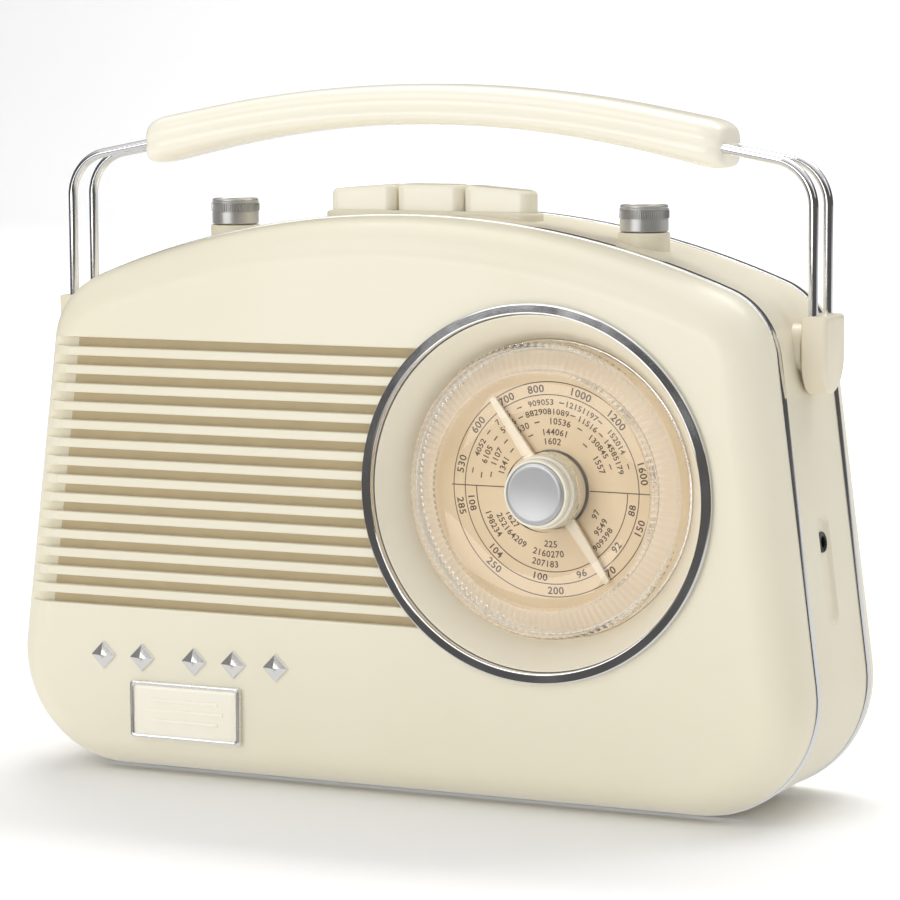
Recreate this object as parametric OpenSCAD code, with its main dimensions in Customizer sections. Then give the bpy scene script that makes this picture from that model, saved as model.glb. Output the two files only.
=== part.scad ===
// Portable table radio: arched case in three shells, slotted grille, deep round dial,
// three keys and two knobs on the top, swinging carrying handle and folding rod aerial.
// Millimetres. +X is to the right of someone facing the dial, +Y goes to the back, +Z is up.
// The origin is on the table, under the middle of the radio's whole box.
// Inside the modules, y = 0 is the middle of the case's depth and z = 0 is the case's underside.

/* [Case] */
// Widest width of the case
case_w = 284; // [270:1:340]
// Height of the case at its middle, without the feet
case_h = 187; // [182:1:225]
// Depth of the case from its front face to its back face
case_d = 83; // [80:1:110]
// Radius of the long arch of the top
top_r = 305; // [280:5:400]
// Radius of each upper corner
upper_r = 25; // [22:1:32]
// Radius of each lower corner
lower_r = 38; // [32:1:44]
// Angle by which each side leans inwards
side_lean = 7.4; // [5:0.1:9]
// How far inwards the rounded front and back edges reach
edge_r = 14; // [13:1:18]
// How deep the rounded front and back edges reach
edge_depth = 16.4; // [14:0.1:20]
// Thickness of the plastic walls
wall = 2.5; // [2:0.1:3]
// Width of each chrome trim strip
trim_w = 3.6; // [1.5:0.1:4]
// How far each chrome trim strip stands proud of the case
trim_proud = 0.4; // [0:0.1:1]
// Height of the rubber feet
foot_h = 1.5; // [1:0.5:4]
// Radius of the rubber feet
foot_r = 6; // [4:0.5:9]

/* [Grille] */
// Number of slots in the grille
slot_count = 15; // [10:1:15]
// Height of one slot
slot_h = 3.1; // [2:0.1:4]
// Distance from one slot to the next
slot_pitch = 6.18; // [5:0.01:6.2]
// Height of the top slot's upper edge above the case's underside
slot_top = 145.5; // [140:0.5:150]
// Depth of the slots, measured from the front face
slot_depth = 3.5; // [3.2:0.1:4]

/* [Dial] */
// Distance of the dial's centre to the right of the middle
dial_x = 53.6; // [50:0.1:60]
// Height of the dial's centre
dial_z = 101; // [95:0.5:104]
// Radius of the round opening in the front shell
opening_r = 57.6; // [54:0.1:60]
// Outer radius of the chrome bezel
bezel_r = 60.3; // [59.5:0.1:62]
// Height of the chrome bezel above the front face
bezel_h = 2; // [1:0.1:2.1]
// Depth of the dial plate behind the front face
plate_depth = 14.4; // [12:0.1:18]
// Radius of the dial plate
plate_r = 47.9; // [45:0.1:50]
// Radius of the hole in the middle of the dial plate
plate_hole_r = 12.7; // [12.7:0.1:15]
// Angle of the pointer at rest, to the left of upright
pointer_angle = 36.5; // [0:0.5:50]
// Length of the pointer from its middle to each tip
pointer_len = 36; // [30:0.5:40]

/* [Controls] */
// Radius of the tuning knob's silver cap
tuning_cap_r = 9.9; // [8:0.1:10]
// Radius of the tuning shaft
tuning_shaft_r = 3; // [2.5:0.1:3.6]
// Distance of each top knob from the middle
knob_x = 74.4; // [65:0.1:80]
// Radius of the top knobs
knob_r = 8.1; // [7.5:0.1:9.8]
// Radius of the top knobs' spindles
spindle_r = 3; // [2.5:0.1:3.6]
// Width of one key
key_w = 23.7; // [19:0.1:23.9]
// Depth of one key, front to back
key_d = 10.5; // [10:0.5:13]
// How far a key goes down
key_travel = 3.5; // [2:0.5:4]
// How far behind the case's middle the controls and the handle lie
deck_y = -2; // [-4:0.5:4]

/* [Handle] */
// Height of the handle's pivots below the top of the case
pivot_drop = 41; // [36:0.5:44]
// Diameter of the two chrome rods
rod_d = 3.1; // [2.5:0.1:3.8]
// Distance between the two chrome rods
rod_gap = 13.4; // [11:0.1:14]
// Bend radius of the rods, on their centre line
rod_bend_r = 15; // [12:0.5:18]
// Half of the grip's length
grip_half = 104; // [98:0.5:112]
// Width of the grip, front to back
grip_w = 23; // [20:0.5:26]
// Height of the grip's parting line above the top of the case, at the middle
grip_rise = 33.5; // [30:0.5:40]
// Radius of the handle's pivot pins
pivot_r = 2.5; // [2:0.1:3.2]

/* [Sockets and aerial] */
// Radius of the earphone socket's bore
jack_r = 1.8; // [1.8:0.1:3.2]
// Length of the aerial's outer tube
aerial_len = 120; // [90:1:124]
// Radius of the aerial's outer tube
aerial_r = 2.6; // [2.5:0.1:3.2]

/* [Battery] */
// Radius of one cell
cell_r = 12.6; // [11:0.1:12.9]
// Length of one cell
cell_len = 49.5; // [44:0.5:50]

/* [Hidden] */
$fn = 64;

cream = [0.93, 0.9, 0.81];
pale_cream = [0.95, 0.93, 0.86];
silver = [0.72, 0.72, 0.71];
chrome = [0.8, 0.8, 0.82];
steel = [0.6, 0.6, 0.62];
dark = [0.12, 0.12, 0.12];
copper = [0.75, 0.42, 0.22];

// General gaps
touch = 0.01;            // overlap that makes two shapes of one piece fuse
moving_gap = 0.4;        // between pieces that move past each other
run_gap = 0.05;          // radial, between a shaft and its bore

// Case outline: the two lower corners, the leaning sides, the upper corners and the arch,
// all tangent to each other
corner_x = case_w / 2 - lower_r;
side_reach = corner_x * cos(side_lean) + lower_r * sin(side_lean) + lower_r;
arch_z = case_h - top_r;
arch_turn = side_lean + acos((side_reach - upper_r - arch_z * sin(side_lean)) / (top_r - upper_r));
upper_x = (top_r - upper_r) * cos(arch_turn);
upper_z = arch_z + (top_r - upper_r) * sin(arch_turn);
corner_steps = 9;
arch_steps = 14;
edge_steps = 8;

function arc(cx, cz, r, a0, a1, steps, first = 0, last = 0) =
    [for (i = [first : steps - last]) let (a = a0 + (a1 - a0) * i / steps) [cx + r * cos(a), cz + r * sin(a)]];

function outline(inset) = concat(
    arc(corner_x, lower_r, lower_r - inset, -90, side_lean, corner_steps),
    arc(upper_x, upper_z, upper_r - inset, side_lean, arch_turn, corner_steps),
    arc(0, arch_z, top_r - inset, arch_turn, 180 - arch_turn, arch_steps, 1, 1),
    arc(-upper_x, upper_z, upper_r - inset, 180 - arch_turn, 180 - side_lean, corner_steps),
    arc(-corner_x, lower_r, lower_r - inset, 180 - side_lean, 270, corner_steps));

function side_x(z) = (side_reach - z * sin(side_lean)) / cos(side_lean);
function deck_z(x) = arch_z + sqrt(top_r * top_r - x * x);

front_y = -case_d / 2;
rear_y = case_d / 2;
front_seam = front_y + edge_depth;
rear_seam = rear_y - edge_depth;

// Screw towers that hold the three shells together
tower_r = 4;
pilot_r = 1.4;
screw_clear_r = 1.8;
screw_head_r = 2.9;
head_sink_y = rear_y - 19.5;
case_screws = [[-92, 158], [92, 158], [-112, 26], [112, 26]];

// Dial
bezel_in = opening_r - 0.8;
bezel_ring = (bezel_r - bezel_in) / 2;
lip_r = opening_r + 0.8;
slot_stop_r = opening_r + 1.2;
plate_t = 1.2;
floor_depth = plate_depth + plate_t;
floor_t = 1.8;
floor_hole_r = 16;
ear_r = 63;
ear_angles = [65, 115, -65, -115];
ear_depth = 6;
ear_t = 2;
lens_depth = 5.6;
lens_t = 1.4;
lens_hole_r = 12.8;
lens_ridge_r = 38;
flange_depth = 10.2;
pointer_depth = 11.8;
pointer_t = 1;
gang_t = 16;
gang_w = 36;
gang_depth = floor_depth + floor_t;

// Speaker
speaker_x = -68;
speaker_z = 100;
speaker_r = 50;
cloth_t = 0.8;
cloth_inset = edge_r - 4;
cloth_depth = slot_depth;
baffle_depth = cloth_depth + cloth_t;
baffle_t = 2.5;
basket_depth = baffle_depth + baffle_t;
speaker_screw_r = 47;

// Ornaments and plate on the front
stud_h = 1.8;
stud_xs = [-104.7, -89.8, -70, -55.2, -39.4];
stud_z = 39.2;
plate_x = -73;
plate_z = 22;
badge_w = 41.5;
badge_h = 19.2;
badge_t = 2.2;
badge_rim = 1.3;

// Top controls
collar_top = deck_z(knob_x) + 4;
knob_gap = 0.3;
knob_h = 8.8;
bush_r = spindle_r + 0.5;
pot_r = 8.5;
key_pitch = key_w + 0.55;
plinth_rise = 2.4;
key_rise = 9.3;
key_corner = 3.8;
plinth_w = 3 * key_pitch + 3.6;
plinth_d = key_d + 3.6;
plinth_foot = case_h - 6;
key_flange_top = plinth_foot - moving_gap;
key_flange_t = 2;
key_flange_d = key_d + 3;
stem_w = 5;
bank_top = plinth_foot - 13;
bank_h = 18;
bank_w = 3 * key_pitch + 3.2;
bank_d = 16;
stem_foot = bank_top - 8;

// Handle
pivot_z = case_h - pivot_drop;
rod_r = rod_d / 2;
rod_x = side_x(pivot_z) + 5.75;
block_in = rod_x - rod_r - 1.7;
block_t = 8.5;
block_w = rod_gap + 4;
block_top = pivot_z + 11;
block_low = pivot_z - 14;
boss_r = 8;
rod_foot = pivot_z + pivot_r + 1.2;
grip_arc_r = 440;
grip_arc_x = 80;
grip_slope = asin(grip_arc_x / grip_arc_r);
grip_mid_z = case_h + grip_rise;
grip_end_r = 7;
grip_screw_x = 62;

function seam_z(x) = abs(x) < grip_arc_x
    ? grip_mid_z - grip_arc_r + sqrt(grip_arc_r * grip_arc_r - x * x)
    : grip_mid_z - grip_arc_r * (1 - cos(grip_slope)) - (abs(x) - grip_arc_x) * tan(grip_slope);

// Inside
board_z = 88;
board_h = 60;
board_w = 116;
board_y = rear_y - 19.5;
board_t = 1.6;
board_posts = [[-52, 94], [52, 94], [-52, 142], [52, 142]];
door_w = 116;
door_low = 24;
door_h = 58;
door_t = 2.2;
hinge_y = rear_y - 0.2 - door_t / 2;
hinge_z = door_low + door_t / 2 + 0.3;
door_gap = 0.4;
hinge_pin_r = 1;
box_wall = 1.6;
box_depth = 2 * cell_r + 3;
cell_y = rear_y - wall - 0.4 - cell_r;
cell_rows = [door_low + 14.4, door_low + 43.2];
inlet_x = -89;
inlet_z = 35;
ferrite_y = rear_y - 25.5;
ferrite_z = 157;

// Side recess and earphone socket
recess_low = 59;
recess_high = 95;
recess_w = 9.6;
recess_depth = 3.2;
jack_z = 85.5;
jack_len = 14;

// Aerial
aerial_x = 98;
aerial_z = 128;
base_t = 2;
swivel_t = 1.2;
swivel_pin_r = 1.5;
tilt_pin_r = 1.2;
swivel_y = rear_y + base_t + 0.2;
mast_y = swivel_y + swivel_t + 0.5 + aerial_r + 0.2;
eye_r = aerial_r + 0.4;
ear_out_r = 3.2;
middle_r = aerial_r - 0.6;
tip_r = middle_r - 0.6;

// The whole radio's box is centred on the origin, front to back
front_reach = case_d / 2 + badge_t;
rear_reach = mast_y + ear_out_r;
mid_y = (front_reach - rear_reach) / 2;

module in_case() translate([0, mid_y, foot_h]) children();

module along_y(r, y0, y1) translate([0, y0, 0]) rotate([-90, 0, 0]) cylinder(r = r, h = y1 - y0);

module along_x(r, x0, x1) translate([x0, 0, 0]) rotate([0, 90, 0]) cylinder(r = r, h = x1 - x0);

module at_points(points) for (p = points) translate([p[0], 0, p[1]]) children();

module on_dial() translate([dial_x, front_y, dial_z]) rotate([-90, 0, 0]) children();

// A closed skin over rings of points, one ring after another
module loft(rings) {
    n = len(rings[0]);
    m = len(rings);
    polyhedron(
        points = [for (ring = rings) for (p = ring) p],
        faces = concat(
            [[for (i = [0 : n - 1]) i]],
            [for (j = [0 : m - 2]) for (i = [0 : n - 1])
                [j * n + i, (j + 1) * n + i, (j + 1) * n + (i + 1) % n, j * n + (i + 1) % n]],
            [[for (i = [n - 1 : -1 : 0]) (m - 1) * n + i]]));
}

// The case's outline, pulled in by an inset and given a depth
module case_slab(inset, y0, y1) translate([0, y1, 0]) rotate([90, 0, 0])
    linear_extrude(height = y1 - y0) polygon(outline(inset));

// The rounded front of the case, from the seam plane to the front face
module rounded_front(inset, tail) {
    in_r = edge_r - inset;
    in_depth = edge_depth - inset;
    loft(concat(
        tail > 0 ? [[for (p = outline(inset)) [p[0], front_seam + tail, p[1]]]] : [],
        [for (i = [0 : edge_steps]) let (a = 90 * i / edge_steps)
            [for (p = outline(inset + in_r * (1 - cos(a)))) [p[0], front_seam - in_depth * sin(a), p[1]]]]));
}

module end_shell() difference() {
    rounded_front(0, 0);
    rounded_front(wall, 1);
}

module rounded_rect(w, h, r) {
    square([w - 2 * r, h], center = true);
    square([w, h - 2 * r], center = true);
    for (x = [-1, 1], y = [-1, 1]) translate([x * (w / 2 - r), y * (h / 2 - r)]) circle(r = r);
}

// A coil spring of round wire, standing on z = 0
module coil_spring(r, wire_r, height, turns) {
    steps = 12;
    sides = 6;
    rise = height - 2 * wire_r;
    loft([for (i = [0 : turns * steps]) let (a = -360 * i / steps)
        [for (j = [0 : sides - 1]) let (b = 360 * j / sides, q = r + wire_r * cos(b))
            [q * cos(a), q * sin(a), wire_r + rise * i / (turns * steps) + wire_r * sin(b)]]]);
}

module pan_screw(head_r, shank_r, length) {
    cylinder(r = head_r, h = 1.6);
    translate([0, 0, -length]) cylinder(r = shank_r, h = length + touch);
}

// ---- Case ----

module grille_slots() difference() {
    for (i = [0 : slot_count - 1])
        translate([-case_w / 2, front_y - 1, slot_top - slot_h - i * slot_pitch])
            cube([case_w / 2 + dial_x, slot_depth + 1, slot_h]);
    on_dial() translate([0, 0, -2]) cylinder(r = slot_stop_r, h = 10, $fn = 128);
}

module front_shell() in_case() color(cream) difference() {
    union() {
        end_shell();
        at_points(case_screws) along_y(tower_r, front_y + wall - touch, front_seam);
        on_dial() for (a = ear_angles) rotate([0, 0, a]) translate([ear_r, 0, wall - touch])
            cylinder(r = 3.2, h = ear_depth - wall + touch);
    }
    on_dial() translate([0, 0, -5]) cylinder(r = opening_r, h = 20, $fn = 128);
    grille_slots();
    at_points(case_screws) along_y(pilot_r, front_y + wall + 1, front_seam + 1);
    on_dial() for (a = ear_angles) rotate([0, 0, a]) translate([ear_r, 0, wall])
        cylinder(r = pilot_r, h = ear_depth);
}

module side_place(z) translate([side_x(z), deck_y, z]) rotate([0, -side_lean, 0]) children();

module recess_shape(grow, x0, x1) {
    mid_z = (recess_low + recess_high) / 2;
    side_place(mid_z) translate([x0, 0, 0]) rotate([90, 0, 90]) linear_extrude(height = x1 - x0)
        rounded_rect(recess_w + grow, recess_high - recess_low + grow, (recess_w + grow) / 2 - 0.01);
}

module middle_band() in_case() color(cream) difference() {
    union() {
        difference() {
            case_slab(0, front_seam + trim_w, rear_seam - trim_w);
            case_slab(wall, front_seam, rear_seam);
        }
        intersection() {
            translate([0, deck_y, plinth_foot]) linear_extrude(height = 20)
                rounded_rect(plinth_w, plinth_d, key_corner + 2);
            translate([0, 0, arch_z]) along_y(top_r + plinth_rise, -20, 20, $fn = 360);
        }
        for (side = [-1, 1]) translate([side * knob_x, deck_y, collar_top - 10])
            cylinder(r = knob_r + 0.2, h = 10);
        for (side = [0, 1]) mirror([side, 0, 0]) translate([0, deck_y, pivot_z])
            along_x(boss_r, side_x(pivot_z) - 7, block_in - 0.3);
        recess_shape(5, -recess_depth - 2, -0.5);
    }
    translate([0, deck_y, plinth_foot - 10]) linear_extrude(height = 40)
        rounded_rect(3 * key_pitch + 0.6, key_d + 0.6, key_corner + 0.3);
    for (side = [-1, 1]) translate([side * knob_x, deck_y, collar_top - 20])
        cylinder(r = bush_r + run_gap, h = 30);
    for (side = [0, 1]) mirror([side, 0, 0]) translate([0, deck_y, pivot_z])
        along_x(pivot_r, side_x(pivot_z) - 10, block_in + 1);
    recess_shape(0, -recess_depth, 5);
    side_place(jack_z) along_x(jack_r + 1.6, -12, 0);
}

module rear_shell() in_case() color(cream) difference() {
    union() {
        mirror([0, 1, 0]) end_shell();
        at_points(case_screws) along_y(tower_r, front_seam, rear_y - wall + touch);
        at_points(board_posts) along_y(3, board_y + board_t, rear_y - wall + touch);
        for (side = [-1, 1]) translate([side * (door_w / 2 + 2) - 2, rear_y - 5, door_low - 1])
            cube([4, 5 - wall + touch, 6]);
        translate([aerial_x - aerial_len + 6, rear_y - touch, aerial_z - aerial_r - moving_gap - 4])
            cube([10, mast_y - rear_y + touch, 4]);
    }
    translate([-door_w / 2, rear_y - wall - 1, door_low]) cube([door_w, wall + 2, door_h]);
    translate([0, hinge_y, hinge_z])
        along_x(hinge_pin_r + run_gap, -door_w / 2 - 2.6, door_w / 2 + 2.6);
    at_points(case_screws) along_y(screw_clear_r, front_seam - 1, rear_y);
    at_points(case_screws) along_y(screw_head_r + 0.5, head_sink_y, rear_y + 1);
    at_points(board_posts) along_y(pilot_r, board_y, rear_y - wall - 2);
    translate([inlet_x - 11.1, rear_y - wall - 1, inlet_z - 7.1]) cube([22.2, wall + 2, 14.2]);
    for (i = [0 : 5]) translate([-105, rear_y - wall - 1, 88 + i * 5]) cube([42, wall + 2, 2.2]);
    translate([aerial_x, 0, aerial_z]) along_y(swivel_pin_r + run_gap, rear_y - wall - 1, rear_y + 1);
}

module chrome_trims() in_case() color(chrome) for (side = [0, 1]) mirror([0, side, 0]) difference() {
    case_slab(-trim_proud, front_seam, front_seam + trim_w);
    case_slab(wall, front_seam - 1, front_seam + trim_w + 1);
}

module feet() in_case() color(dark) for (x = [-90, 90], y = [-14, 14]) translate([x, y, -foot_h])
    cylinder(r = foot_r, h = foot_h);

module screws() in_case() color(steel) {
    at_points(case_screws) translate([0, head_sink_y, 0]) rotate([-90, 0, 0])
        pan_screw(screw_head_r, pilot_r, head_sink_y - front_seam + 8);
    at_points(board_posts) translate([0, board_y, 0]) rotate([90, 0, 0]) pan_screw(2.6, pilot_r, 8);
    on_dial() for (a = ear_angles) rotate([0, 0, a]) translate([ear_r, 0, ear_depth + ear_t])
        pan_screw(2.6, pilot_r, 4.5);
    for (a = [45 : 90 : 315])
        translate([speaker_x + speaker_screw_r * cos(a), front_y + basket_depth + 1.2, speaker_z + speaker_screw_r * sin(a)])
            rotate([-90, 0, 0]) pan_screw(2.6, pilot_r, 2.8);
}

// ---- Grille and speaker ----

module behind_grille(inset, low, high, depth, t, dial_clear) difference() {
    intersection() {
        case_slab(inset, front_y + depth, front_y + depth + t);
        translate([-case_w / 2, front_y, low]) cube([case_w / 2 + dial_x, case_d, high - low]);
    }
    on_dial() cylinder(r = dial_clear, h = 40, $fn = 128);
}

grille_low = slot_top - slot_h - (slot_count - 1) * slot_pitch;

module grille_cloth() in_case() color([0.69, 0.61, 0.47])
    behind_grille(cloth_inset, grille_low - 3, slot_top + 3, cloth_depth, cloth_t, lip_r + 0.4);

module speaker_baffle() in_case() color([0.45, 0.33, 0.2]) difference() {
    behind_grille(cloth_inset + 1, grille_low - 4, slot_top + 4, baffle_depth, baffle_t, lip_r + 2);
    translate([speaker_x, 0, speaker_z]) along_y(speaker_r - 8, front_y, 0);
    for (a = [45 : 90 : 315])
        translate([speaker_x + speaker_screw_r * cos(a), 0, speaker_z + speaker_screw_r * sin(a)])
            along_y(pilot_r, front_y, 0);
}

module speaker_profile(points) translate([speaker_x, front_y + basket_depth, speaker_z])
    rotate([-90, 0, 0]) rotate_extrude() polygon(points);

module speaker_basket() in_case() color(steel) difference() {
    speaker_profile([
        [speaker_r - 7, 0], [speaker_r, 0], [speaker_r, 1.2], [speaker_r - 6, 1.2], [27, 22], [14, 22],
        [14, 20.8], [26.3, 20.8]]);
    for (a = [0 : 60 : 300]) translate([speaker_x, front_y + basket_depth + 11, speaker_z])
        rotate([0, a + 30, 0]) translate([30, -5, -7]) cube([20, 12, 14]);
    for (a = [45 : 90 : 315])
        translate([speaker_x + speaker_screw_r * cos(a), 0, speaker_z + speaker_screw_r * sin(a)])
            along_y(screw_clear_r, front_y, 0);
}

module speaker_magnet() in_case() color([0.25, 0.25, 0.27])
    speaker_profile([[0, 25], [0, 37], [30, 37], [30, 22], [14, 22], [14, 25]]);

// radius inside the basket's wall at a depth h
function basket_inner_r(h) = speaker_r - 7 - h * (speaker_r - 7 - 26.3) / 20.8;

module speaker_cone() in_case() color([0.16, 0.15, 0.14])
    speaker_profile([[0, 12], [13, 17], [39, 2], [basket_inner_r(0.6), 0.6], [basket_inner_r(1.4), 1.4], [39.4, 2.8], [13, 18], [0, 13]]);

// ---- Front ornaments ----

module name_studs() in_case() color(chrome) for (x = stud_xs)
    translate([x, front_y - stud_h / 2, stud_z]) rotate([90, 0, 0])
        cylinder(r = 4.7, h = stud_h, center = true, $fn = 4);

module name_plate() in_case() color(pale_cream) difference() {
    translate([plate_x - badge_w / 2, front_y - badge_t, plate_z - badge_h / 2])
        cube([badge_w, badge_t, badge_h]);
    translate([plate_x - badge_w / 2 - 1, front_y - badge_t - 1, plate_z - badge_h / 2 - 1])
        difference() {
            cube([badge_w + 2, 1.6, badge_h + 2]);
            translate([1 + badge_rim, 0, 1 + badge_rim])
                cube([badge_w - 2 * badge_rim, 2, badge_h - 2 * badge_rim]);
        }
}

module name_plate_frame() in_case() color(chrome)
    translate([plate_x - badge_w / 2, front_y - badge_t, plate_z - badge_h / 2]) difference() {
        cube([badge_w, 0.6, badge_h]);
        translate([badge_rim, -1, badge_rim]) cube([badge_w - 2 * badge_rim, 3, badge_h - 2 * badge_rim]);
    }

// ---- Dial ----

module dial_bezel() in_case() color(chrome) on_dial() rotate_extrude($fn = 128) {
    difference() {
        translate([bezel_in + bezel_ring, bezel_ring - bezel_h]) circle(r = bezel_ring, $fn = 32);
        translate([bezel_in - 1, 0]) square([2 * bezel_ring + 2, 4]);
    }
    translate([bezel_in, -0.4]) square([opening_r - bezel_in, wall + 0.3]);
}

module dial_surround() in_case() color(cream) on_dial() {
    rotate_extrude($fn = 128) polygon([
        [bezel_in - 0.6, 0.3], [plate_r + 0.1, plate_depth], [plate_r + 0.1, floor_depth],
        [floor_hole_r, floor_depth], [floor_hole_r, floor_depth + floor_t],
        [plate_r + 2.2, floor_depth + floor_t], [lip_r, 4.4], [lip_r, wall + 0.1],
        [bezel_in - 0.1, wall + 0.1], [bezel_in - 0.1, 0.3]]);
    for (a = ear_angles) rotate([0, 0, a]) difference() {
        union() {
            translate([ear_r, 0, ear_depth]) cylinder(r = 4, h = ear_t);
            translate([lip_r - 4.2, -4, ear_depth]) cube([ear_r - lip_r + 4.2, 8, ear_t]);
        }
        translate([ear_r, 0, ear_depth - 1]) cylinder(r = screw_clear_r, h = 5);
    }
}

module dial_plate() in_case() color([0.82, 0.73, 0.59]) on_dial() difference() {
    translate([0, 0, plate_depth]) cylinder(r = plate_r, h = plate_t, $fn = 128);
    cylinder(r = plate_hole_r, h = 40);
}

module dial_lens() in_case() color([0.95, 0.93, 0.88, 0.4]) on_dial() rotate_extrude($fn = 128) polygon([
    [plate_r - 0.3, lens_depth + 2.6], [plate_r - 1.3, lens_depth + 1.4], [plate_r - 2.3, lens_depth + 1.6],
    [lens_ridge_r + 0.8, lens_depth - 0.2], [lens_ridge_r, lens_depth - 0.8], [lens_ridge_r - 0.8, lens_depth],
    [lens_hole_r, lens_depth], [lens_hole_r, lens_depth + lens_t],
    [lens_ridge_r - 0.6, lens_depth + lens_t], [lens_ridge_r + 0.4, lens_depth + lens_t - 0.2],
    [plate_r - 2.7, lens_depth + 3.2], [plate_r - 1.7, lens_depth + 4.2],
    [plate_r - 1.7, plate_depth], [plate_r - 0.3, plate_depth]]);

module tuning_knob() in_case() color(pale_cream) on_dial() rotate_extrude() polygon([
    [0, 1], [tuning_cap_r + 0.05, 1], [tuning_cap_r + 0.05, 0.6], [tuning_cap_r + 1, 0.6],
    [tuning_cap_r + 1.2, 3.6], [tuning_cap_r + 0.7, 3.6], [tuning_cap_r + 0.7, 4.2],
    [tuning_cap_r + 1.7, 4.2], [tuning_cap_r + 1.7, 6.2], [tuning_cap_r + 1, 6.2],
    [tuning_cap_r + 1, 6.8], [tuning_cap_r + 1.7, 6.8], [tuning_cap_r + 2.4, flange_depth],
    [tuning_cap_r + 2.4, pointer_depth], [tuning_shaft_r, pointer_depth], [tuning_shaft_r, 3], [0, 3]]);

module tuning_cap() in_case() color(silver) on_dial() rotate_extrude() polygon([
    [0, -0.5], [tuning_cap_r - 0.9, -0.5], [tuning_cap_r, 0.1], [tuning_cap_r, 1], [0, 1]]);

module pointer() in_case() color(pale_cream) on_dial() difference() {
    translate([0, 0, pointer_depth]) union() {
        cylinder(r = tuning_cap_r + 2.4, h = pointer_t);
        rotate([0, 0, -90 - pointer_angle]) for (side = [0, 180]) rotate([0, 0, side])
            linear_extrude(height = pointer_t)
                polygon([[0, -1.6], [pointer_len, -0.85], [pointer_len, 0.85], [0, 1.6]]);
    }
    cylinder(r = tuning_shaft_r, h = 40);
}

module tuning_shaft() in_case() color(steel) on_dial()
    translate([0, 0, 3]) cylinder(r = tuning_shaft_r, h = gang_depth + gang_t - 6);

module tuning_gang() in_case() color([0.85, 0.85, 0.8]) on_dial() difference() {
    translate([-gang_w / 2, -gang_w / 2, gang_depth]) cube([gang_w, gang_w, gang_t]);
    translate([0, 0, gang_depth - 1]) cylinder(r = tuning_shaft_r + run_gap, h = gang_t - 1);
}

// ---- Top controls ----

module top_control(x) translate([x, deck_y, collar_top]) children();

module top_knob(x) in_case() color(silver) top_control(x) rotate_extrude() polygon([
    [spindle_r, knob_gap], [knob_r - 0.3, knob_gap], [knob_r - 0.3, 4.2], [knob_r, 4.4], [knob_r, 7.3],
    [knob_r - 0.4, 7.3], [knob_r - 0.4, 7.6], [knob_r - 0.2, 7.8], [knob_r - 0.5, knob_h],
    [knob_r - 1.3, knob_h], [knob_r - 1.5, knob_h - 0.6], [0, knob_h - 0.6], [0, 6.5], [spindle_r, 6.5]]);

module spindle(x) in_case() color(steel) top_control(x) translate([0, 0, -21])
    cylinder(r = spindle_r, h = 27.5);

module volume_knob() top_knob(-knob_x);

module volume_spindle() spindle(-knob_x);

module tone_knob() top_knob(knob_x);

module tone_spindle() spindle(knob_x);

module control_pots() in_case() color([0.5, 0.45, 0.35]) for (side = [-1, 1]) top_control(side * knob_x)
    difference() {
        union() {
            translate([0, 0, -24]) cylinder(r = pot_r, h = 9);
            translate([0, 0, -15 - touch]) cylinder(r = bush_r, h = 13.5);
        }
        translate([0, 0, -22]) cylinder(r = spindle_r + run_gap, h = 30);
    }

// Keys are numbered -1, 0 and 1 from left to right
module key(i) in_case() color(pale_cream) translate([i * key_pitch, deck_y, 0]) {
    intersection() {
        translate([0, 0, key_flange_top - touch]) linear_extrude(height = 20)
            rounded_rect(key_w, key_d, key_corner);
        translate([-i * key_pitch, 0, arch_z]) along_y(top_r + key_rise, -20, 20, $fn = 360);
    }
    translate([0, 0, key_flange_top - key_flange_t / 2])
        cube([key_w + 0.2, key_flange_d, key_flange_t], center = true);
    translate([-stem_w / 2, -stem_w / 2, stem_foot])
        cube([stem_w, stem_w, key_flange_top - stem_foot - touch]);
}

module key_left() key(-1);

module key_middle() key(0);

module key_right() key(1);

module key_spring(i) in_case() color(steel) translate([i * key_pitch, deck_y, bank_top])
    coil_spring(4.4, 0.35, key_flange_top - key_flange_t - bank_top, 5);

module key_spring_left() key_spring(-1);

module key_spring_middle() key_spring(0);

module key_spring_right() key_spring(1);

module switch_bank() in_case() color([0.3, 0.3, 0.32]) translate([0, deck_y, 0]) difference() {
    union() {
        translate([-bank_w / 2, -bank_d / 2, bank_top - bank_h]) cube([bank_w, bank_d, bank_h]);
        for (side = [-1, 1]) translate([side * (bank_w / 2 - 0.6) - 0.6, -5, bank_top - touch])
            cube([1.2, 10, plinth_foot - bank_top + touch]);
    }
    for (i = [-1 : 1]) translate([i * key_pitch, 0, stem_foot - key_travel - 1])
        linear_extrude(height = 30) square(stem_w + 0.8, center = true);
}

// ---- Handle ----

function grip_ring(x, side) =
    let (u = max(0, (abs(x) - grip_half + grip_end_r) / grip_end_r),
         shrink = 1 - sqrt(max(0, 1 - u * u)),
         w = grip_w / 2 - 4 * shrink,
         t = (side > 0 ? 8.3 : 4.9 + 1.9 * pow(x / 90, 2)) - (side > 0 ? 2.6 : 2.2) * shrink)
    [for (i = [0 : 14]) let (a = 180 * i / 14, c = cos(a), s = sin(a))
        [x, deck_y + side * w * sign(c) * pow(abs(c), 0.6), seam_z(x) + side * t * pow(max(0, s), 0.6)]];

grip_xs = concat(
    [for (i = [0 : 4]) -grip_half + grip_end_r * (1 - cos(22.5 * i))],
    [for (i = [1 : 11]) (grip_half - grip_end_r) * (i / 6 - 1)],
    [for (i = [4 : -1 : 0]) grip_half - grip_end_r * (1 - cos(22.5 * i))]);

module grip_half_solid(side) difference() {
    loft([for (x = grip_xs) grip_ring(x, side)]);
    for (y = [-1, 1]) handle_rod_solid(y);
    for (x = [-grip_screw_x, grip_screw_x]) translate([x, deck_y, seam_z(x) - 20])
        cylinder(r = pilot_r, h = 26);
    for (x = [-grip_screw_x, grip_screw_x]) translate([x, deck_y, seam_z(x) - 20])
        cylinder(r = 2.8, h = 17);
}

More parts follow.
